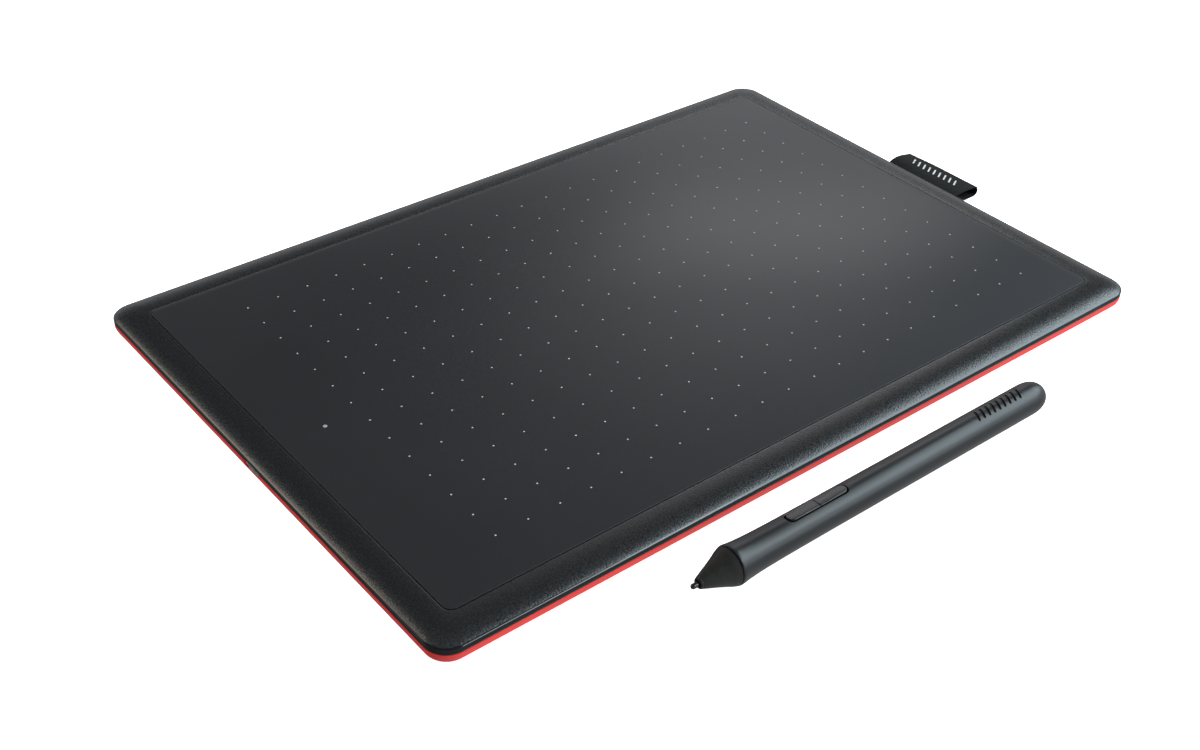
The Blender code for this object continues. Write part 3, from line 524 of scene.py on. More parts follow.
SCREW_STEEL = make_metal("screw_steel", (0.45, 0.45, 0.46), (0.3 * MM, 0.3 * MM, 0.1 * MM))
SHIELD = make_metal("shield_steel", (0.6, 0.61, 0.62), (12 * MM, 0.3 * MM, 0.3 * MM), (0.3, 0.45))
CONTACT = make_metal("contact_gold", (0.85, 0.62, 0.28), (0.8 * MM, 0.08 * MM, 0.08 * MM))
BOARD = make_circuit_board()
CHIP = moulded(
    "chip_black", (0.012, 0.012, 0.012), (0.02, 0.02, 0.02), 0.15 * MM, 0.01 * MM, (0.4, 0.55)
)
GREY = moulded(
    "inner_grey", (0.26, 0.27, 0.28), (0.32, 0.33, 0.34), 0.3 * MM, 0.01 * MM, (0.42, 0.55)
)
FERRITE = moulded(
    "ferrite_dark", (0.03, 0.029, 0.028), (0.05, 0.048, 0.047), 0.2 * MM, 0.02 * MM, (0.4, 0.6)
)
FOAM = make_foam()
COIL = make_coil_wire()
FLEX = make_flex_film()
CLEAR = make_clear_pipe()


# ---------------------------------------------------------------- tablet: upper case and sheet

RIM_SPAN_ANGLE = 80
RIM_STEPS = 30
CHAMFER = 0.22 * MM
BEVEL_SLOPE = math.tan(math.radians(37))
WALL = 1.8 * MM


def between(first, second, part):
    return tuple(a + (b - a) * part for a, b in zip(first, second))


def make_upper_case():
    """Pan, recess wall, crowned rim, a narrow chamfer and a short matt wall below it, in a darker
    material that is partly painted shade.
    """
    recess = (SHEET_HALF[0] + GAP, SHEET_HALF[1] + GAP, SHEET_R + GAP)
    outside = (*CASE_HALF, CASE_R)
    pan_top = SHEET_UNDER - GAP
    lip_r = 0.12 * MM
    sections = [(*recess, pan_top), (*recess, RIM_TOP - lip_r)]
    rim_wide = CASE_HALF[1] - recess[1]
    lip = lip_r / rim_wide
    for angle in (30, 60):
        part = lip * (1 - math.cos(math.radians(angle)))
        z = RIM_TOP - lip_r * (1 - math.sin(math.radians(angle)))
        sections.append((*between(recess, outside, part), z))
    last = math.radians(RIM_SPAN_ANGLE)
    end = 1 - CHAMFER / rim_wide
    before = (lip, RIM_TOP)
    for i in range(RIM_STEPS + 1):
        angle = last * i / RIM_STEPS
        part = lip + (end - lip) * math.sin(angle) / math.sin(last)
        z = RIM_TOP - (RIM_TOP - EDGE_Z) * (1 - math.cos(angle)) / (1 - math.cos(last))
        z = max(z, before[1] - (part - before[0]) * rim_wide * BEVEL_SLOPE)
        before = (part, z)
        sections.append((*between(recess, outside, part), z))
    for out, drop in ((0.5, 0.5), (0.1, 0.93), (0.0, 1.25)):
        inset = out * CHAMFER
        half = (CASE_HALF[0] - inset, CASE_HALF[1] - inset)
        sections.append((*half, CASE_R, z - drop * CHAMFER))
    for inset, radius, z in (
        (0.05 * MM, CASE_R, CASE_EDGE + 0.1 * MM),
        (0.12 * MM, CASE_R, CASE_EDGE + 0.02 * MM),
        (0.25 * MM, CASE_R, CASE_EDGE),
        (WALL, CASE_R - WALL, CASE_EDGE),
        (WALL + 0.4 * MM, CASE_R - WALL, CASE_EDGE + 0.6 * MM),
        (WALL + 2.4 * MM, CASE_R - 2 * WALL, pan_top - 1.0 * MM),
    ):
        sections.append((CASE_HALF[0] - inset, CASE_HALF[1] - inset, radius, z))
    bm = bmesh.new()
    loft(bm, case_rings(sections))
    case = mesh_object(
        "upper_case_shell", bm, RIM, TABLET, "tablet", ["upper_case"]
    )
    cut(case, loop_opening, TABLET)
    cut(case, socket_notch, TABLET)
    # Faces below WALL_TOP take the darker wall material: painted shade on the wall.
    case.data.materials.append(WALL_BLACK_AND_PAINTED_SHADE)
    for face in case.data.polygons:
        if face.center.z < WALL_TOP:
            face.material_index = 1


def loop_opening(bm):
    """The slot in the right edge, which both shells share."""
    inner_end = 129 * MM
    half_high = 0.8 * MM
    low = Vector((inner_end, loop_low.y - CENTRE.y - GAP, LOOP_Z - half_high))
    high = Vector((CASE_HALF[0] + MM, loop_high.y - CENTRE.y + GAP, LOOP_Z + half_high))
    verts = box_into(bm, low, high)
    edges = {edge for vert in verts for edge in vert.link_edges}
    long_edges = [e for e in edges if abs(e.verts[0].co.x - e.verts[1].co.x) > MM]
    bmesh.ops.bevel(bm, geom=long_edges, offset=0.5 * MM, segments=4, affect="EDGES")


def make_sheet():
    """A thin plate with a finely rounded upper edge."""
    edge = 0.09 * MM
    sections = [(*SHEET_HALF, SHEET_R, SHEET_UNDER)]
    sections.append((*SHEET_HALF, SHEET_R, SHEET_TOP - edge))
    for angle in (30, 60, 90):
        inset = edge * (1 - math.cos(math.radians(angle)))
        z = SHEET_TOP - edge * (1 - math.sin(math.radians(angle)))
        sections.append((SHEET_HALF[0] - inset, SHEET_HALF[1] - inset, SHEET_R - inset, z))
    bm = bmesh.new()
    loft(bm, case_rings(sections, 12))
    mesh_object(
        "sheet_film_piece", bm, FILM, TABLET, "tablet", ["drawing_sheet"]
    )


AREA_HALF = (108.0 * MM, 67.5 * MM)
AREA_MIDDLE = (5.5 * MM, -0.4 * MM)
DOT_COLUMNS = 21
DOT_ROWS = 14
DOT_R = 0.28 * MM
INK_HIGH = 0.012 * MM
LAMP_R = 0.65 * MM
LAMP_HIGH = 0.02 * MM


def disc_into(bm, x, y, z, radius, high, sides=14):
    """A low printed disc with sloping sides."""
    rings = []
    for r, up in ((radius, 0), (radius * 0.86, high)):
        rings.append([(x + a, y + b, z + up) for a, b in arc((0, 0), r, 0, 360, sides)[:-1]])
    loft(bm, rings)


def make_dots():
    """The grid of printed dots, the outermost of which mark the corners of the active area."""
    bm = bmesh.new()
    for column in range(DOT_COLUMNS):
        x = AREA_MIDDLE[0] + AREA_HALF[0] * (2 * column / (DOT_COLUMNS - 1) - 1)
        for row in range(DOT_ROWS):
            y = AREA_MIDDLE[1] + AREA_HALF[1] * (2 * row / (DOT_ROWS - 1) - 1)
            disc_into(bm, x, y, SHEET_TOP, DOT_R, INK_HIGH)
    mesh_object("printed_dots", bm, INK, TABLET, "tablet")


def make_lamp_dot():
    pipe_low, pipe_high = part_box("light_pipe")
    middle = (pipe_low + pipe_high) / 2 - CENTRE
    bm = bmesh.new()
    disc_into(bm, middle.x, middle.y, SHEET_TOP, LAMP_R, LAMP_HIGH, 24)
    mesh_object("lamp_window_dot", bm, LAMP, TABLET, "tablet")


# ---------------------------------------------------------------- tablet: lower case

TRAY_TOP = 4.9 * MM
UNDERCUT = 3.0 * MM
BOTTOM_R = 4.3 * MM
FOOT_R = 7.0 * MM
FEET = ["foot_%s_%s" % (end, side) for end in ("front", "back") for side in ("left", "right")]


def make_lower_case():
    """A rounded, undercut side, the parting face, a lip inside the upper wall, and the floor."""
    side_top = TRAY_TOP - 0.2 * MM
    side_drop = side_top - UNDERSIDE
    sections = []
    steps = 26
    for i in range(steps + 1):
        angle = math.pi / 2 * (1 - i / steps)
        inset = UNDERCUT * (1 - math.cos(angle))
        radius = CASE_R + (BOTTOM_R - CASE_R) * (1 - math.cos(angle))
        half = (CASE_HALF[0] - inset, CASE_HALF[1] - inset)
        sections.append((*half, radius, side_top - side_drop * math.sin(angle)))
    lip_out = WALL + GAP
    floor_top = UNDERSIDE + 1.4 * MM
    for inset, radius, z in (
        (0.06 * MM, CASE_R, TRAY_TOP - 0.06 * MM),
        (0.2 * MM, CASE_R, TRAY_TOP),
        (lip_out, CASE_R - WALL, TRAY_TOP),
        (lip_out, CASE_R - WALL, TRAY_TOP + 0.6 * MM),
        (lip_out + MM, CASE_R - 2 * WALL, TRAY_TOP + 0.6 * MM),
        (lip_out + MM, CASE_R - 2 * WALL, 4.2 * MM),
        (lip_out + 2.5 * MM, CASE_R - 2 * WALL, floor_top + 0.6 * MM),
        (lip_out + 5.9 * MM, CASE_R - 2 * WALL, floor_top),
    ):
        sections.append((CASE_HALF[0] - inset, CASE_HALF[1] - inset, radius, z))
    bm = bmesh.new()
    loft(bm, case_rings(sections))
    tray = mesh_object("lower_case_shell", bm, RED, TABLET, "tablet", ["lower_case"])
    cut(tray, loop_opening, TABLET)
    cut(tray, socket_notch, TABLET)
    cut(tray, underside_recesses, TABLET)


def socket_notch(bm):
    """The opening round the socket, with rounded lower corners."""
    shell_low, shell_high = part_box("usb_shell")
    half = (shell_high.y - shell_low.y) / 2 + GAP
    low = shell_low.z - GAP
    top = shell_high.z + GAP
    r = 0.7 * MM
    inner_end = -130 * MM
    outline = [(half, top), (-half, top)]
    outline += arc((-half + r, low + r), r, 180, 270, 6) + arc((half - r, low + r), r, 270, 360, 6)
    loft(bm, [[(x, y, z) for y, z in outline] for x in (-CASE_HALF[0] - MM, inner_end)])


def underside_recesses(bm):
    """Round recesses for the feet and a shallow rounded one for the label."""
    for foot in FEET:
        low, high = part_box(foot)
        middle = (low + high) / 2 - CENTRE
        rings = []
        for z in (UNDERSIDE - MM, high.z + GAP):
            ring = arc((middle.x, middle.y), FOOT_R + GAP, 0, 360, 48)[:-1]
            rings.append([(x, y, z) for x, y in ring])
        loft(bm, rings)
    low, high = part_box("rating_label")
    half = ((high.x - low.x) / 2 + GAP, (high.y - low.y) / 2 + GAP)
    middle = (low + high) / 2 - CENTRE
    outline = rounded_rectangle(*half, 2 * MM, 8)
    heights = (UNDERSIDE - MM, high.z + GAP)
    loft(bm, [[(x + middle.x, y + middle.y, z) for x, y in outline] for z in heights])


def make_feet():
    """Turned rubber feet: a flat tread with a shallow dish in its middle."""
    for foot in FEET:
        low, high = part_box(foot)
        middle = (low + high) / 2
        edge = 0.3 * MM
        profile = [(0, 0.12 * MM), (3.2 * MM, 0.12 * MM), (3.45 * MM, 0.1 * MM)]
        profile += [(3.6 * MM, 0.02 * MM), (3.75 * MM, 0), (FOOT_R - edge, 0)]
        for angle in (30, 60, 90):
            out = edge * math.sin(math.radians(angle))
            up = edge * (1 - math.cos(math.radians(angle)))
            profile.append((FOOT_R - edge + out, up))
        profile += [(FOOT_R, high.z), (0, high.z)]
        bm = bmesh.new()
        turned_mesh(bm, profile, 48)
        upright = Matrix.Rotation(math.radians(-90), 4, "Y")
        place = Matrix.Translation((middle.x, middle.y, 0)) @ upright
        mesh_object(foot + "_pad", bm, RUBBER, place, "tablet", [foot])


def make_label():
    """A blank label with a fine bevel on its outer face."""
    low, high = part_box("rating_label")
    half = ((high.x - low.x) / 2, (high.y - low.y) / 2)
    middle = (low + high) / 2
    edge = 0.05 * MM
    sections = [
        (half[0] - edge, half[1] - edge, 1.6 * MM, low.z),
        (*half, 1.7 * MM, low.z + edge),
        (*half, 1.7 * MM, high.z),
    ]
    bm = bmesh.new()
    loft(bm, case_rings(sections, 8))
    place = Matrix.Translation((middle.x, middle.y, 0))
    mesh_object("blank_label", bm, LABEL, place, "tablet", ["rating_label"])


# ---------------------------------------------------------------- tablet: socket


def socket_outline(half, low, top, chamfer, r):
    """The socket's section, seen from outside: rounded, with its lower corners cut off."""
    points = arc((half - r, top - r), r, 0, 90, 4) + arc((-half + r, top - r), r, 90, 180, 4)
    points += [(-half, low + chamfer), (-half + chamfer, low)]
    points += [(half - chamfer, low), (half, low + chamfer)]
    return points


def make_socket():
    """A flared steel shell, the blade inside it and five contacts under the blade."""
    low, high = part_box("usb_shell")
    middle = (low.y + high.y) / 2
    half = (high.y - low.y) / 2
    wall = 0.25 * MM
    flare = 0.12 * MM
    front, back = low.x, high.x
    rings = []
    for x, inset in (
        (back, 0),
        (front + 0.5 * MM, 0),
        (front + 0.1 * MM, 0),
        (front, 0.05 * MM),
        (front, wall - flare),
        (front + 0.35 * MM, wall),
        (back - wall, wall),
    ):
        chamfer = 0.9 * MM - 0.4 * inset
        corner = 0.5 * MM - inset / 2
        outline = socket_outline(half - inset, low.z + inset, high.z - inset, chamfer, corner)
        rings.append([(x, y + middle, z) for y, z in outline])
    bm = bmesh.new()
    loft(bm, rings)
    mesh_object("socket_shell", bm, SOCKET_STEEL, Matrix(), "tablet", ["usb_shell"])

    low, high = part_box("usb_tongue")
    blade_half = 1.85 * MM
    blade_low, blade_high = 4.2 * MM, 4.75 * MM
    blade_mid = (blade_low + blade_high) / 2
    nose = 0.25 * MM
    bm = bmesh.new()
    rings = []
    for x, inset in ((low.x, 0.15 * MM), (low.x + nose, 0), (high.x - 0.6 * MM, 0)):
        half_high = (blade_high - blade_low) / 2 - inset
        side = rounded_rectangle(blade_half - inset / 2, half_high, 0.08 * MM, 3)
        rings.append([(x, y + middle, z + blade_mid) for y, z in side])
    loft(bm, rings)
    outline = socket_outline((high.y - low.y) / 2, low.z, high.z, 0.6 * MM, 0.3 * MM)
    loft(bm, [[(x, y + middle, z) for y, z in outline] for x in (high.x - 1.2 * MM, high.x)])
    mesh_object("socket_tongue", bm, CHIP, Matrix(), "tablet", ["usb_tongue"])

    pitch = 0.65 * MM
    half_wide = 0.17 * MM
    bm = bmesh.new()
    for number in range(5):
        y = middle + (number - 2) * pitch
        verts = box_into(
            bm,
            (low.x + 0.35 * MM, y - half_wide, blade_low - 0.05 * MM),
            (high.x - 1.25 * MM, y + half_wide, blade_low + 0.02 * MM),
        )
        edges = {edge for vert in verts for edge in vert.link_edges}
        bmesh.ops.bevel(bm, geom=list(edges), offset=0.02 * MM, segments=1, affect="EDGES")
    mesh_object("socket_contacts", bm, CONTACT, Matrix(), "tablet")


# ---------------------------------------------------------------- tablet: pen loop

TAPE = 0.46 * MM
TAPE_WIDE = 32.5 * MM
LOOP_RISE = 0.65 * MM  # top of the tape at the fold, above LOOP_Z
LOOP_DROP = 3.3 * MM  # underside of the tape at the fold, below LOOP_Z
LOOP_DROOP = 0.6 * MM
LOOP_ARCH = 1.2 * MM


def ease(part):
    """A smooth step from 0 to 1."""
    part = min(1.0, max(0.0, part))
    return part * part * (3 - 2 * part)


def loop_path():
    """The tape's middle line, (x, z) from the upper tail round the fold to the lower tail."""
    tail = loop_low.x - CENTRE.x
    start = CASE_HALF[0] + 0.6 * MM
    fold_r = (LOOP_RISE + LOOP_DROP) / 2 - TAPE / 2
    fold_x = loop_high.x - CENTRE.x - TAPE / 2 - fold_r
    fold_z = (LOOP_RISE - LOOP_DROP) / 2
    top_z = LOOP_RISE - TAPE / 2
    bottom_z = -LOOP_DROP + TAPE / 2
    half = TAPE / 2 + 0.02 * MM
    path = []
    for i in range(9):
        path.append((tail + (start - tail) * i / 8, half))
    rise = 3.0 * MM
    for i in range(1, 9):
        x = start + rise * i / 8
        path.append((x, half + (top_z - half) * ease(i / 8)))
    span = fold_x - (start + rise)
    for i in range(1, 9):
        path.append((start + rise + span * i / 8, top_z))
    path += arc((fold_x, fold_z), fold_r, 90, -90, 24)[1:]
    sag = 6.5 * MM
    span = fold_x - (start + sag)
    for i in range(1, 5):
        path.append((fold_x - span * i / 4, bottom_z))
    for i in range(1, 17):
        x = start + sag * (1 - i / 16)
        path.append((x, bottom_z + (-half - bottom_z) * ease(i / 16)))
    for i in range(1, 9):
        path.append((start - (start - tail) * i / 8, -half))
    return path


def tape_section():
    """(across, out) round the tape, with fuller edges where the weave turns back."""
    half = TAPE_WIDE / 2
    bead = TAPE * 0.54
    thick = TAPE / 2
    count = 40
    edge = 0.9 * MM
    flat = []
    for i in range(count + 1):
        across = (half - bead) * (1 - 2 * i / count)
        swell = max(0.0, 1 - (half - abs(across)) / edge)
        flat.append((across, thick + (bead - thick) * swell))
    points = list(flat)
    points += arc((-half + bead, 0), bead, 120, 240, 4)
    points += [(across, -out) for across, out in reversed(flat)]
    points += arc((half - bead, 0), bead, -60, 60, 4)
    return points


def make_loop():
    """The tape's section swept along its path, with each point lifted by loop_lift."""
    path = loop_path()
    section = tape_section()
    middle_y = (loop_low.y + loop_high.y) / 2 - CENTRE.y
    rings = []
    for i, (x, z) in enumerate(path):
        before = path[max(0, i - 1)]
        after = path[min(len(path) - 1, i + 1)]
        tangent = Vector((after[0] - before[0], after[1] - before[1])).normalized()
        out = Vector((-tangent.y, tangent.x))
        ring = []
        for across, offset in section:
            px = x + out.x * offset
            pz = z + out.y * offset
            lift = loop_lift(px, across, i < len(path) / 2)
            ring.append((px, middle_y + across, LOOP_Z + pz + lift))
        rings.append(ring)
    bm = bmesh.new()
    loft(bm, rings)
    loop = mesh_object(
        "woven_loop", bm, TAPE_BLACK, TABLET, "tablet", ["pen_loop"], 50
    )
    make_loop_mark(middle_y)


def loop_lift(x, across, upper):
    """The tape's back end sinks at the fold, and its upper layer arches on the way there."""
    back = ease((across - 2 * MM) / (TAPE_WIDE / 2 - 2 * MM))
    outward = ease((x - CASE_HALF[0] - MM) / (10 * MM))
    lift = -LOOP_DROOP * outward * back
    if upper:
        start = CASE_HALF[0] + 0.3 * MM
        part = min(1.0, max(0.0, (x - start) / (loop_high.x - CENTRE.x - start)))
        lift += LOOP_ARCH * (0.35 + 0.65 * back) * math.sin(math.pi * part**0.8)
    return lift


MARK_DASHES = 9
MARK_PITCH = 2.5 * MM
MARK_LONG = 3.9 * MM
MARK_WIDE = 0.6 * MM
MARK_SLANT = math.radians(28)


def slanted_bar(long, wide, slant, steps=5):
    """The outline of a bar with round ends, turned from the Y axis towards X by slant."""
    half = long / 2 - wide / 2
    points = arc((0, half), wide / 2, 0, 180, steps) + arc((0, -half), wide / 2, 180, 360, steps)
    c, s = math.cos(slant), math.sin(slant)
    return [(x * c + y * s, -x * s + y * c) for x, y in points]


def make_loop_mark(middle_y):
    """A row of plain slanted dashes in light thread, woven into the loop's top."""
    bm = bmesh.new()
    x = CASE_HALF[0] + 7.4 * MM
    top = LOOP_Z + LOOP_RISE
    for number in range(MARK_DASHES):
        y = (number - (MARK_DASHES - 1) / 2) * MARK_PITCH
        rings = []
        for grow, up in ((1.0, -0.03 * MM), (1.0, 0.03 * MM), (0.8, 0.06 * MM)):
            outline = slanted_bar(MARK_LONG, MARK_WIDE * grow, math.pi / 2 - MARK_SLANT)
            ring = []
            for a, b in outline:
                lift = loop_lift(x + a, y + b, True)
                ring.append((x + a, middle_y + y + b, top + up + lift))
            rings.append(ring)
        loft(bm, rings)
    mesh_object("loop_dashes", bm, THREAD, TABLET, "tablet")


# ---------------------------------------------------------------- pen

PEN_SIDES = 112
FLARE_R = 5.91 * MM
BARREL_R = 5.05 * MM
STRAIGHT_END = 121.0 * MM
REAR = 127.74 * MM
BARREL_FRONT = -0.85 * MM
BORE_R = 4.05 * MM
ROCKER_LONG = 22.0 * MM
ROCKER_WIDE = 3.3 * MM
ROCKER_TOP = 5.25 * MM
ROCKER_CROWN_R = 12.0 * MM
ROCKER_UNDER = 3.25 * MM
SLOT_HALF = (ROCKER_LONG / 2 + 0.65 * MM, ROCKER_WIDE / 2 + GAP)
SLOT_CHAMFER = 0.14 * MM
GROOVES = 9
GROOVES_START = 96.0 * MM
GROOVES_END = 117.0 * MM
GROOVE_LONG = 4.3 * MM
GROOVE_WIDE = 0.95 * MM
GROOVE_DEEP = 0.2 * MM
GROOVE_SLANT = math.radians(24)
GROOVE_ROLL = math.radians(9)


def barrel_radius(s):
    """The barrel narrows from the flare to its straight rear part."""
    return BARREL_R + 0.62 * MM * math.exp(-s / (5.2 * MM)) + 0.24 * MM * math.exp(-s / (17 * MM))


def barrel_profile():
    """(radius, s) from the rounded rear end, forward along the outside and back in the bore."""
    profile = [(0, REAR)]
    steps = 22
    long = REAR - STRAIGHT_END
    for i in range(1, steps + 1):
        angle = math.pi / 2 * i / steps
        profile.append((BARREL_R * math.sin(angle) ** 0.62, STRAIGHT_END + long * math.cos(angle)))
    s = STRAIGHT_END - 3 * MM
    while s > 0.3 * MM:
        profile.append((barrel_radius(s), s))
        s -= max(0.45 * MM, 0.075 * s)
    profile += [(FLARE_R, 0.05 * MM), (FLARE_R, -0.45 * MM), (FLARE_R - 0.03 * MM, -0.62 * MM)]
    profile += [(FLARE_R - 0.12 * MM, BARREL_FRONT + 0.03 * MM), (FLARE_R - 0.2 * MM, BARREL_FRONT)]
    profile += [
        (4.45 * MM, BARREL_FRONT),
        (4.45 * MM, 7.4 * MM),
        (BORE_R, 7.8 * MM),
        (BORE_R, 122.5 * MM),
        (2.4 * MM, 124.6 * MM),
        (0, 124.6 * MM),
    ]
    return profile


def on_barrel(x, y, lift):
    """A point lift above the barrel's surface, at y to the side of its top line."""
    radius = barrel_radius(x) + lift
    return (x, y, math.sqrt(max(radius**2 - y**2, 0)))


def rocker_slot(bm):
    """The opening for the rocking switch, with a fine chamfer that follows the round barrel."""
    corner = SLOT_HALF[1] * 0.93
    inner = rounded_rectangle(*SLOT_HALF, corner, 10)
    wider = [length + SLOT_CHAMFER for length in (*SLOT_HALF, corner)]
    outer = rounded_rectangle(*wider, 10)
    rings = [
        [(ROCKER_MID + x, y, BORE_R - 1.6 * MM) for x, y in inner],
        [on_barrel(ROCKER_MID + x, y, -SLOT_CHAMFER) for x, y in inner],
        [on_barrel(ROCKER_MID + x, y, 0.02 * MM) for x, y in outer],
        [(ROCKER_MID + x, y, 8 * MM) for x, y in outer],
    ]
    loft(bm, rings)


def mark_grooves(bm):
    """A row of plain slanted grooves near the barrel's rear, in place of lettering."""
    turn = Matrix.Rotation(GROOVE_ROLL, 3, "X")
    for number in range(GROOVES):
        s = GROOVES_START + (GROOVES_END - GROOVES_START) * (number + 0.5) / GROOVES
        outline = slanted_bar(GROOVE_LONG, GROOVE_WIDE, GROOVE_SLANT, 6)
        rings = []
        for lift in (-GROOVE_DEEP, 0.6 * MM):
            ring = []
            for a, b in outline:
                angle = b / BARREL_R
                radius = BARREL_R + lift
                point = Vector((s + a, radius * math.sin(angle), radius * math.cos(angle)))
                ring.append(turn @ point)
            rings.append(ring)
        loft(bm, rings)


def make_barrel():
    bm = bmesh.new()
    turned_mesh(bm, barrel_profile(), PEN_SIDES)
    barrel = mesh_object("barrel_shell", bm, GUNMETAL, PEN, "pen", ["pen_barrel"])
    cut(barrel, rocker_slot, PEN)
    cut(barrel, mark_grooves, PEN)


CONE_BACK = -1.15 * MM
CONE_POINTS = (
    # radius and distance from the flare, in millimetres
    (5.74, -1.15),
    (5.25, -2.5),
    (4.71, -3.7),
    (4.18, -5.0),
    (3.26, -7.4),
    (2.37, -9.9),
    (1.9, -11.1),
)


def cone_profile():
    """Fine turned rings on the cone, then a small collar round the nib."""
    profile = [(4.15 * MM, 7 * MM), (4.15 * MM, CONE_BACK), (5.6 * MM, CONE_BACK)]
    pitch = 0.34 * MM
    ring_deep = 0.014 * MM
    first, last = CONE_POINTS[0][1] * MM, CONE_POINTS[-1][1] * MM
    steps = round((first - last) / pitch) * 4
    for i in range(steps + 1):
        s = first + (last - first) * i / steps
        for (r0, s0), (r1, s1) in zip(CONE_POINTS, CONE_POINTS[1:]):
            if s1 * MM - 1e-9 <= s <= s0 * MM:
                radius = r0 * MM + (r1 - r0) * MM * (s - s0 * MM) / ((s1 - s0) * MM)
        wave = ring_deep * (1 - math.cos(2 * math.pi * i / 4)) / 2
        profile.append((radius - wave * (2 < i < steps - 4), s))
    collar = [
        (1.78, -11.25),
        (1.72, -11.3),
        (1.72, -11.6),
        (1.66, -11.78),
        (1.52, -11.95),
        (1.4, -12.0),
        (1.14, -12.0),
        (1.1, -11.9),
        (1.1, -6.6),
    ]
    return profile + [(r * MM, s * MM) for r, s in collar]


def make_cone():
    bm = bmesh.new()
    turned_mesh(bm, cone_profile(), 80)
    mesh_object("cone_shell", bm, CONE, PEN, "pen", ["pen_cone"])


def make_nib():
    """A rod with a rounded tip, from its rear end in the holder."""
    tip = -14.33 * MM
    rear = 12 * MM
    radius = 0.8 * MM
    rounding = 0.75 * MM
    profile = [(0, rear), (radius, rear), (radius, -11 * MM), (radius, tip + rounding)]
    for i in range(1, 12):
        angle = math.pi / 2 * i / 12
        profile.append((radius * math.cos(angle) ** 0.8, tip + rounding * (1 - math.sin(angle))))
    profile.append((0, tip))
    bm = bmesh.new()
    turned_mesh(bm, profile, 40)
    mesh_object("nib_rod", bm, NIB, PEN, "nib", ["nib"])


ROCKER_EDGE = 0.24 * MM
ROCKER_ROUND = 0.9
NOTCH_HALF = 0.2 * MM
NOTCH_DEEP = 0.4 * MM


def rocker_ring(x, lowered):
    """The rocker's outline across the pen at x from its middle."""
    half_wide = ROCKER_WIDE / 2
    corner = half_wide * ROCKER_ROUND
    past = min(corner, max(0.0, abs(x) - (ROCKER_LONG / 2 - corner)))
    half = half_wide - corner + math.sqrt(corner**2 - past**2)
    edge = min(ROCKER_EDGE, half * 0.6)
    notch = NOTCH_DEEP * max(0.0, 1 - abs(x) / NOTCH_HALF)
    dip = 0.12 * MM * math.cos(math.pi * x / ROCKER_LONG) ** 2 + lowered + notch

    def crown(y):
        return ROCKER_TOP - y**2 / (2 * ROCKER_CROWN_R) - dip

    inner = half - edge
    across = 10
    right = [(half, ROCKER_UNDER), (half, crown(half) - edge)]
    for angle in (25, 50, 75):
        a = math.radians(angle)
        right.append((inner + edge * math.cos(a), crown(inner) - edge * (1 - math.sin(a))))
    spots = [inner * (1 - 2 * i / across) for i in range(across + 1)]
    top = [(y, crown(y)) for y in spots]
    left = [(-y, z) for y, z in reversed(right)]
    return [(ROCKER_MID + x, y, z) for y, z in right + top + left]


def make_rocker():
    """The switch: rings along the pen, closer together at the middle notch and the round ends."""
    end = ROCKER_LONG / 2
    corner = ROCKER_WIDE / 2 * ROCKER_ROUND
    straight = end - corner
    stations = [NOTCH_HALF * part for part in (0, 0.5, 1.0)]
    steps = 18
    stations += [NOTCH_HALF + (straight - NOTCH_HALF) * i / steps for i in range(1, steps + 1)]
    stations += [straight + corner * math.sin(math.radians(a)) for a in (12, 24, 36, 48, 60, 70)]
    placed = [(x, 0.0) for x in stations]
    inside = corner * (1 - math.sin(math.radians(70)))
    for angle in (30, 60, 85):
        a = math.radians(angle)
        placed.append((end - inside * (1 - math.sin(a)), inside * 1.6 * (1 - math.cos(a))))
    mirrored = [(-x, low) for x, low in reversed(placed[1:])]
    bm = bmesh.new()
    loft(bm, [rocker_ring(x, low) for x, low in mirrored + placed])
    mesh_object("switch_rocker", bm, SWITCH, PEN, "side_switch", ["side_switch"])


# ---------------------------------------------------------------- pieces that stay as they are

KEPT = {
    BOARD: ["sensor_board", "control_board", "pen_board"],
    SHIELD: ["shield_plate"],
    FOAM: ["foam_strip_front", "foam_strip_back"],
    SCREW_STEEL: ["case_" + name.replace("foot", "screw") for name in FEET]
    + ["board_screw_front", "board_screw_back", "crystal"]
    + ["tact_switch_front", "tact_switch_rear"],
    CHIP: ["controller_chip", "sensing_chip", "flex_connector_control", "flex_connector_sensor"]
    + ["loop_clamp", "tuning_capacitor"],
    LAMP: ["status_led"],
    CLEAR: ["light_pipe"],
    FLEX: ["flex_cable"],
    FERRITE: ["ferrite_core"],
    COIL: ["pen_coil"],
    GREY: ["pressure_sensor", "pen_chassis", "nib_holder"],
}


def dress_kept_nodes():
    """Gives the inner CAD nodes their finished materials. Their shapes stay as they are."""
    for mat, names in KEPT.items():
        for name in names:
            node = frame["nodes"][name]
            for slot in node.material_slots:
                slot.material = mat


# ---------------------------------------------------------------- floor, light and camera

CAMERA_FROM_CENTRE = Vector((-0.28217, -0.32677, 0.29205))
CAMERA_AZIMUTH = math.radians(39.588)
CAMERA_ELEVATION = math.radians(36.194)
CAMERA_ROLL = math.radians(1.61)
CAMERA_LENS = 47.6


def make_camera():
    data = bpy.data.cameras.new("camera")
    data.sensor_width = 36
    data.lens = CAMERA_LENS
    data.clip_start = 0.01
    data.clip_end = 50
    camera = bpy.data.objects.new("camera", data)
    bpy.context.scene.collection.objects.link(camera)
    turn = Matrix.Rotation(-CAMERA_AZIMUTH, 4, "Z")
    tilt = Matrix.Rotation(math.radians(90) - CAMERA_ELEVATION, 4, "X")
    roll = Matrix.Rotation(CAMERA_ROLL, 4, "Z")
    camera.matrix_world = Matrix.Translation(CENTRE + CAMERA_FROM_CENTRE) @ turn @ tilt @ roll
    bpy.context.scene.camera = camera


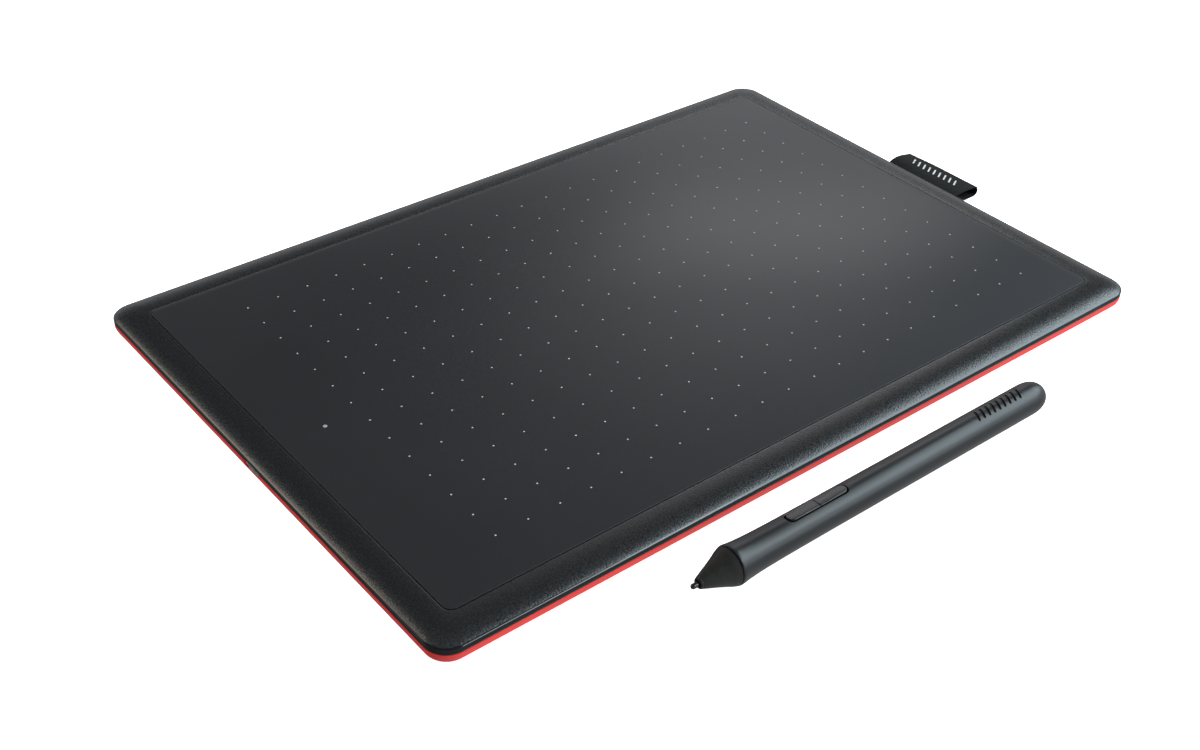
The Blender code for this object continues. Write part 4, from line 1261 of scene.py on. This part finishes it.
def make_floor():
    bm = bmesh.new()
    rings = []
    for radius in (0.001, 0.5, 2.0, 12.0):
        rings.append([(x, y, 0) for x, y in arc((0, 0), radius, 0, 360, 64)[:-1]])
    loft(bm, rings, caps=(True, False))
    just_below = Matrix.Translation((0, 0, -0.05 * MM))
    floor = mesh_object("floor", bm, make_floor_white(), just_below, None)
    # Only the camera sees the floor: the world below the horizon lights the object in its place.
    floor.visible_diffuse = False
    floor.visible_glossy = False


SOFTBOXES = (
    # name, azimuth from +Y towards +X, elevation, (width, height) in metres, watts, colour
    ("right", 115, 35.5, (1.2, 0.74), 20.0, (0.78, 0.93, 1.0)),
    ("front", 147, 16, (0.5, 0.45), 2.7, (0.8, 0.94, 1.0)),
    ("front_high", 152, 37, (0.42, 0.3), 3.3, (0.9, 0.97, 1.0)),
    ("back_right", 50.5, 32, (0.5, 0.3), 1.1, (0.98, 0.98, 1.0)),
    ("back_high", 43, 42, (0.55, 0.32), 0.45, (0.98, 0.98, 1.0)),
    ("back_left", 318, 34, (0.45, 0.7), 4.0, (1.0, 0.9, 0.75)),
)
LIGHT_DISTANCE = 1.4
FILL_WATTS = 26.0
NEAR_SIDE = (0.3, -0.95, 0)
NEAR_SPAN = (-0.3, 0.4)  # from the far side to the near side, along NEAR_SIDE
GLOW_BELOW = (0.25, 0.8)  # below the horizon: on the far side and on the near side
GLOW_ABOVE = (0.85, 0.03)  # above it: near the floor and overhead


def area_light(name, azimuth, elevation, size, watts, colour, glossy=True):
    data = bpy.data.lights.new(name, "AREA")
    data.shape = "RECTANGLE"
    data.size, data.size_y = size
    data.energy = watts
    data.color = colour
    light = bpy.data.objects.new(name, data)
    bpy.context.scene.collection.objects.link(light)
    a, e = math.radians(azimuth), math.radians(elevation)
    back = Vector((math.sin(a) * math.cos(e), math.cos(a) * math.cos(e), math.sin(e)))
    light.location = back * LIGHT_DISTANCE
    light.rotation_mode = "QUATERNION"
    light.rotation_quaternion = back.to_track_quat("Z", "Y")
    light.visible_glossy = glossy
    light.visible_camera = False


def make_lights():
    for softbox in SOFTBOXES:
        area_light(*softbox)
    area_light("overhead_fill", 0, 90, (2.4, 2.4), FILL_WATTS, (1, 1, 1), glossy=False)


HORIZON = (-0.08, 0.1)  # where a direction's height turns from below to above
OVERHEAD = (0.2, 0.42)  # where the glow above turns to the dim top


def make_world():
    """A studio that is dim overhead, pale near the floor, and below it palest on the near side."""
    world = bpy.data.worlds.new("studio")
    world.use_nodes = True
    tree = world.node_tree
    background = tree.nodes["Background"]
    background.inputs["Color"].default_value = (0.94, 0.97, 1.0, 1)
    coords = tree.nodes.new("ShaderNodeTexCoord").outputs["Generated"]
    split = tree.nodes.new("ShaderNodeSeparateXYZ")
    tree.links.new(coords, split.inputs[0])
    near = tree.nodes.new("ShaderNodeVectorMath")
    near.operation = "DOT_PRODUCT"
    near.inputs[1].default_value = NEAR_SIDE
    tree.links.new(coords, near.inputs[0])

    def fade(value, from_low, from_high, to_low, to_high):
        made = tree.nodes.new("ShaderNodeMapRange")
        for key, number in (("From Min", from_low), ("From Max", from_high)):
            made.inputs[key].default_value = number
        for key, number in (("To Min", to_low), ("To Max", to_high)):
            made.inputs[key].default_value = number
        tree.links.new(value, made.inputs["Value"])
        return made.outputs[0]

    height = split.outputs["Z"]
    mix = tree.nodes.new("ShaderNodeMix")
    tree.links.new(fade(height, *HORIZON, 0, 1), mix.inputs[0])
    tree.links.new(fade(near.outputs["Value"], *NEAR_SPAN, *GLOW_BELOW), mix.inputs[2])
    tree.links.new(fade(height, *OVERHEAD, *GLOW_ABOVE), mix.inputs[3])
    tree.links.new(mix.outputs[0], background.inputs["Strength"])
    bpy.context.scene.world = world


make_camera()
make_floor()
make_lights()
make_world()
bpy.context.scene.view_settings.view_transform = "Standard"

make_upper_case()
make_sheet()
make_dots()
make_lamp_dot()
make_lower_case()
make_feet()
make_label()
make_socket()
make_loop()
make_barrel()
make_cone()
make_nib()
make_rocker()
dress_kept_nodes()
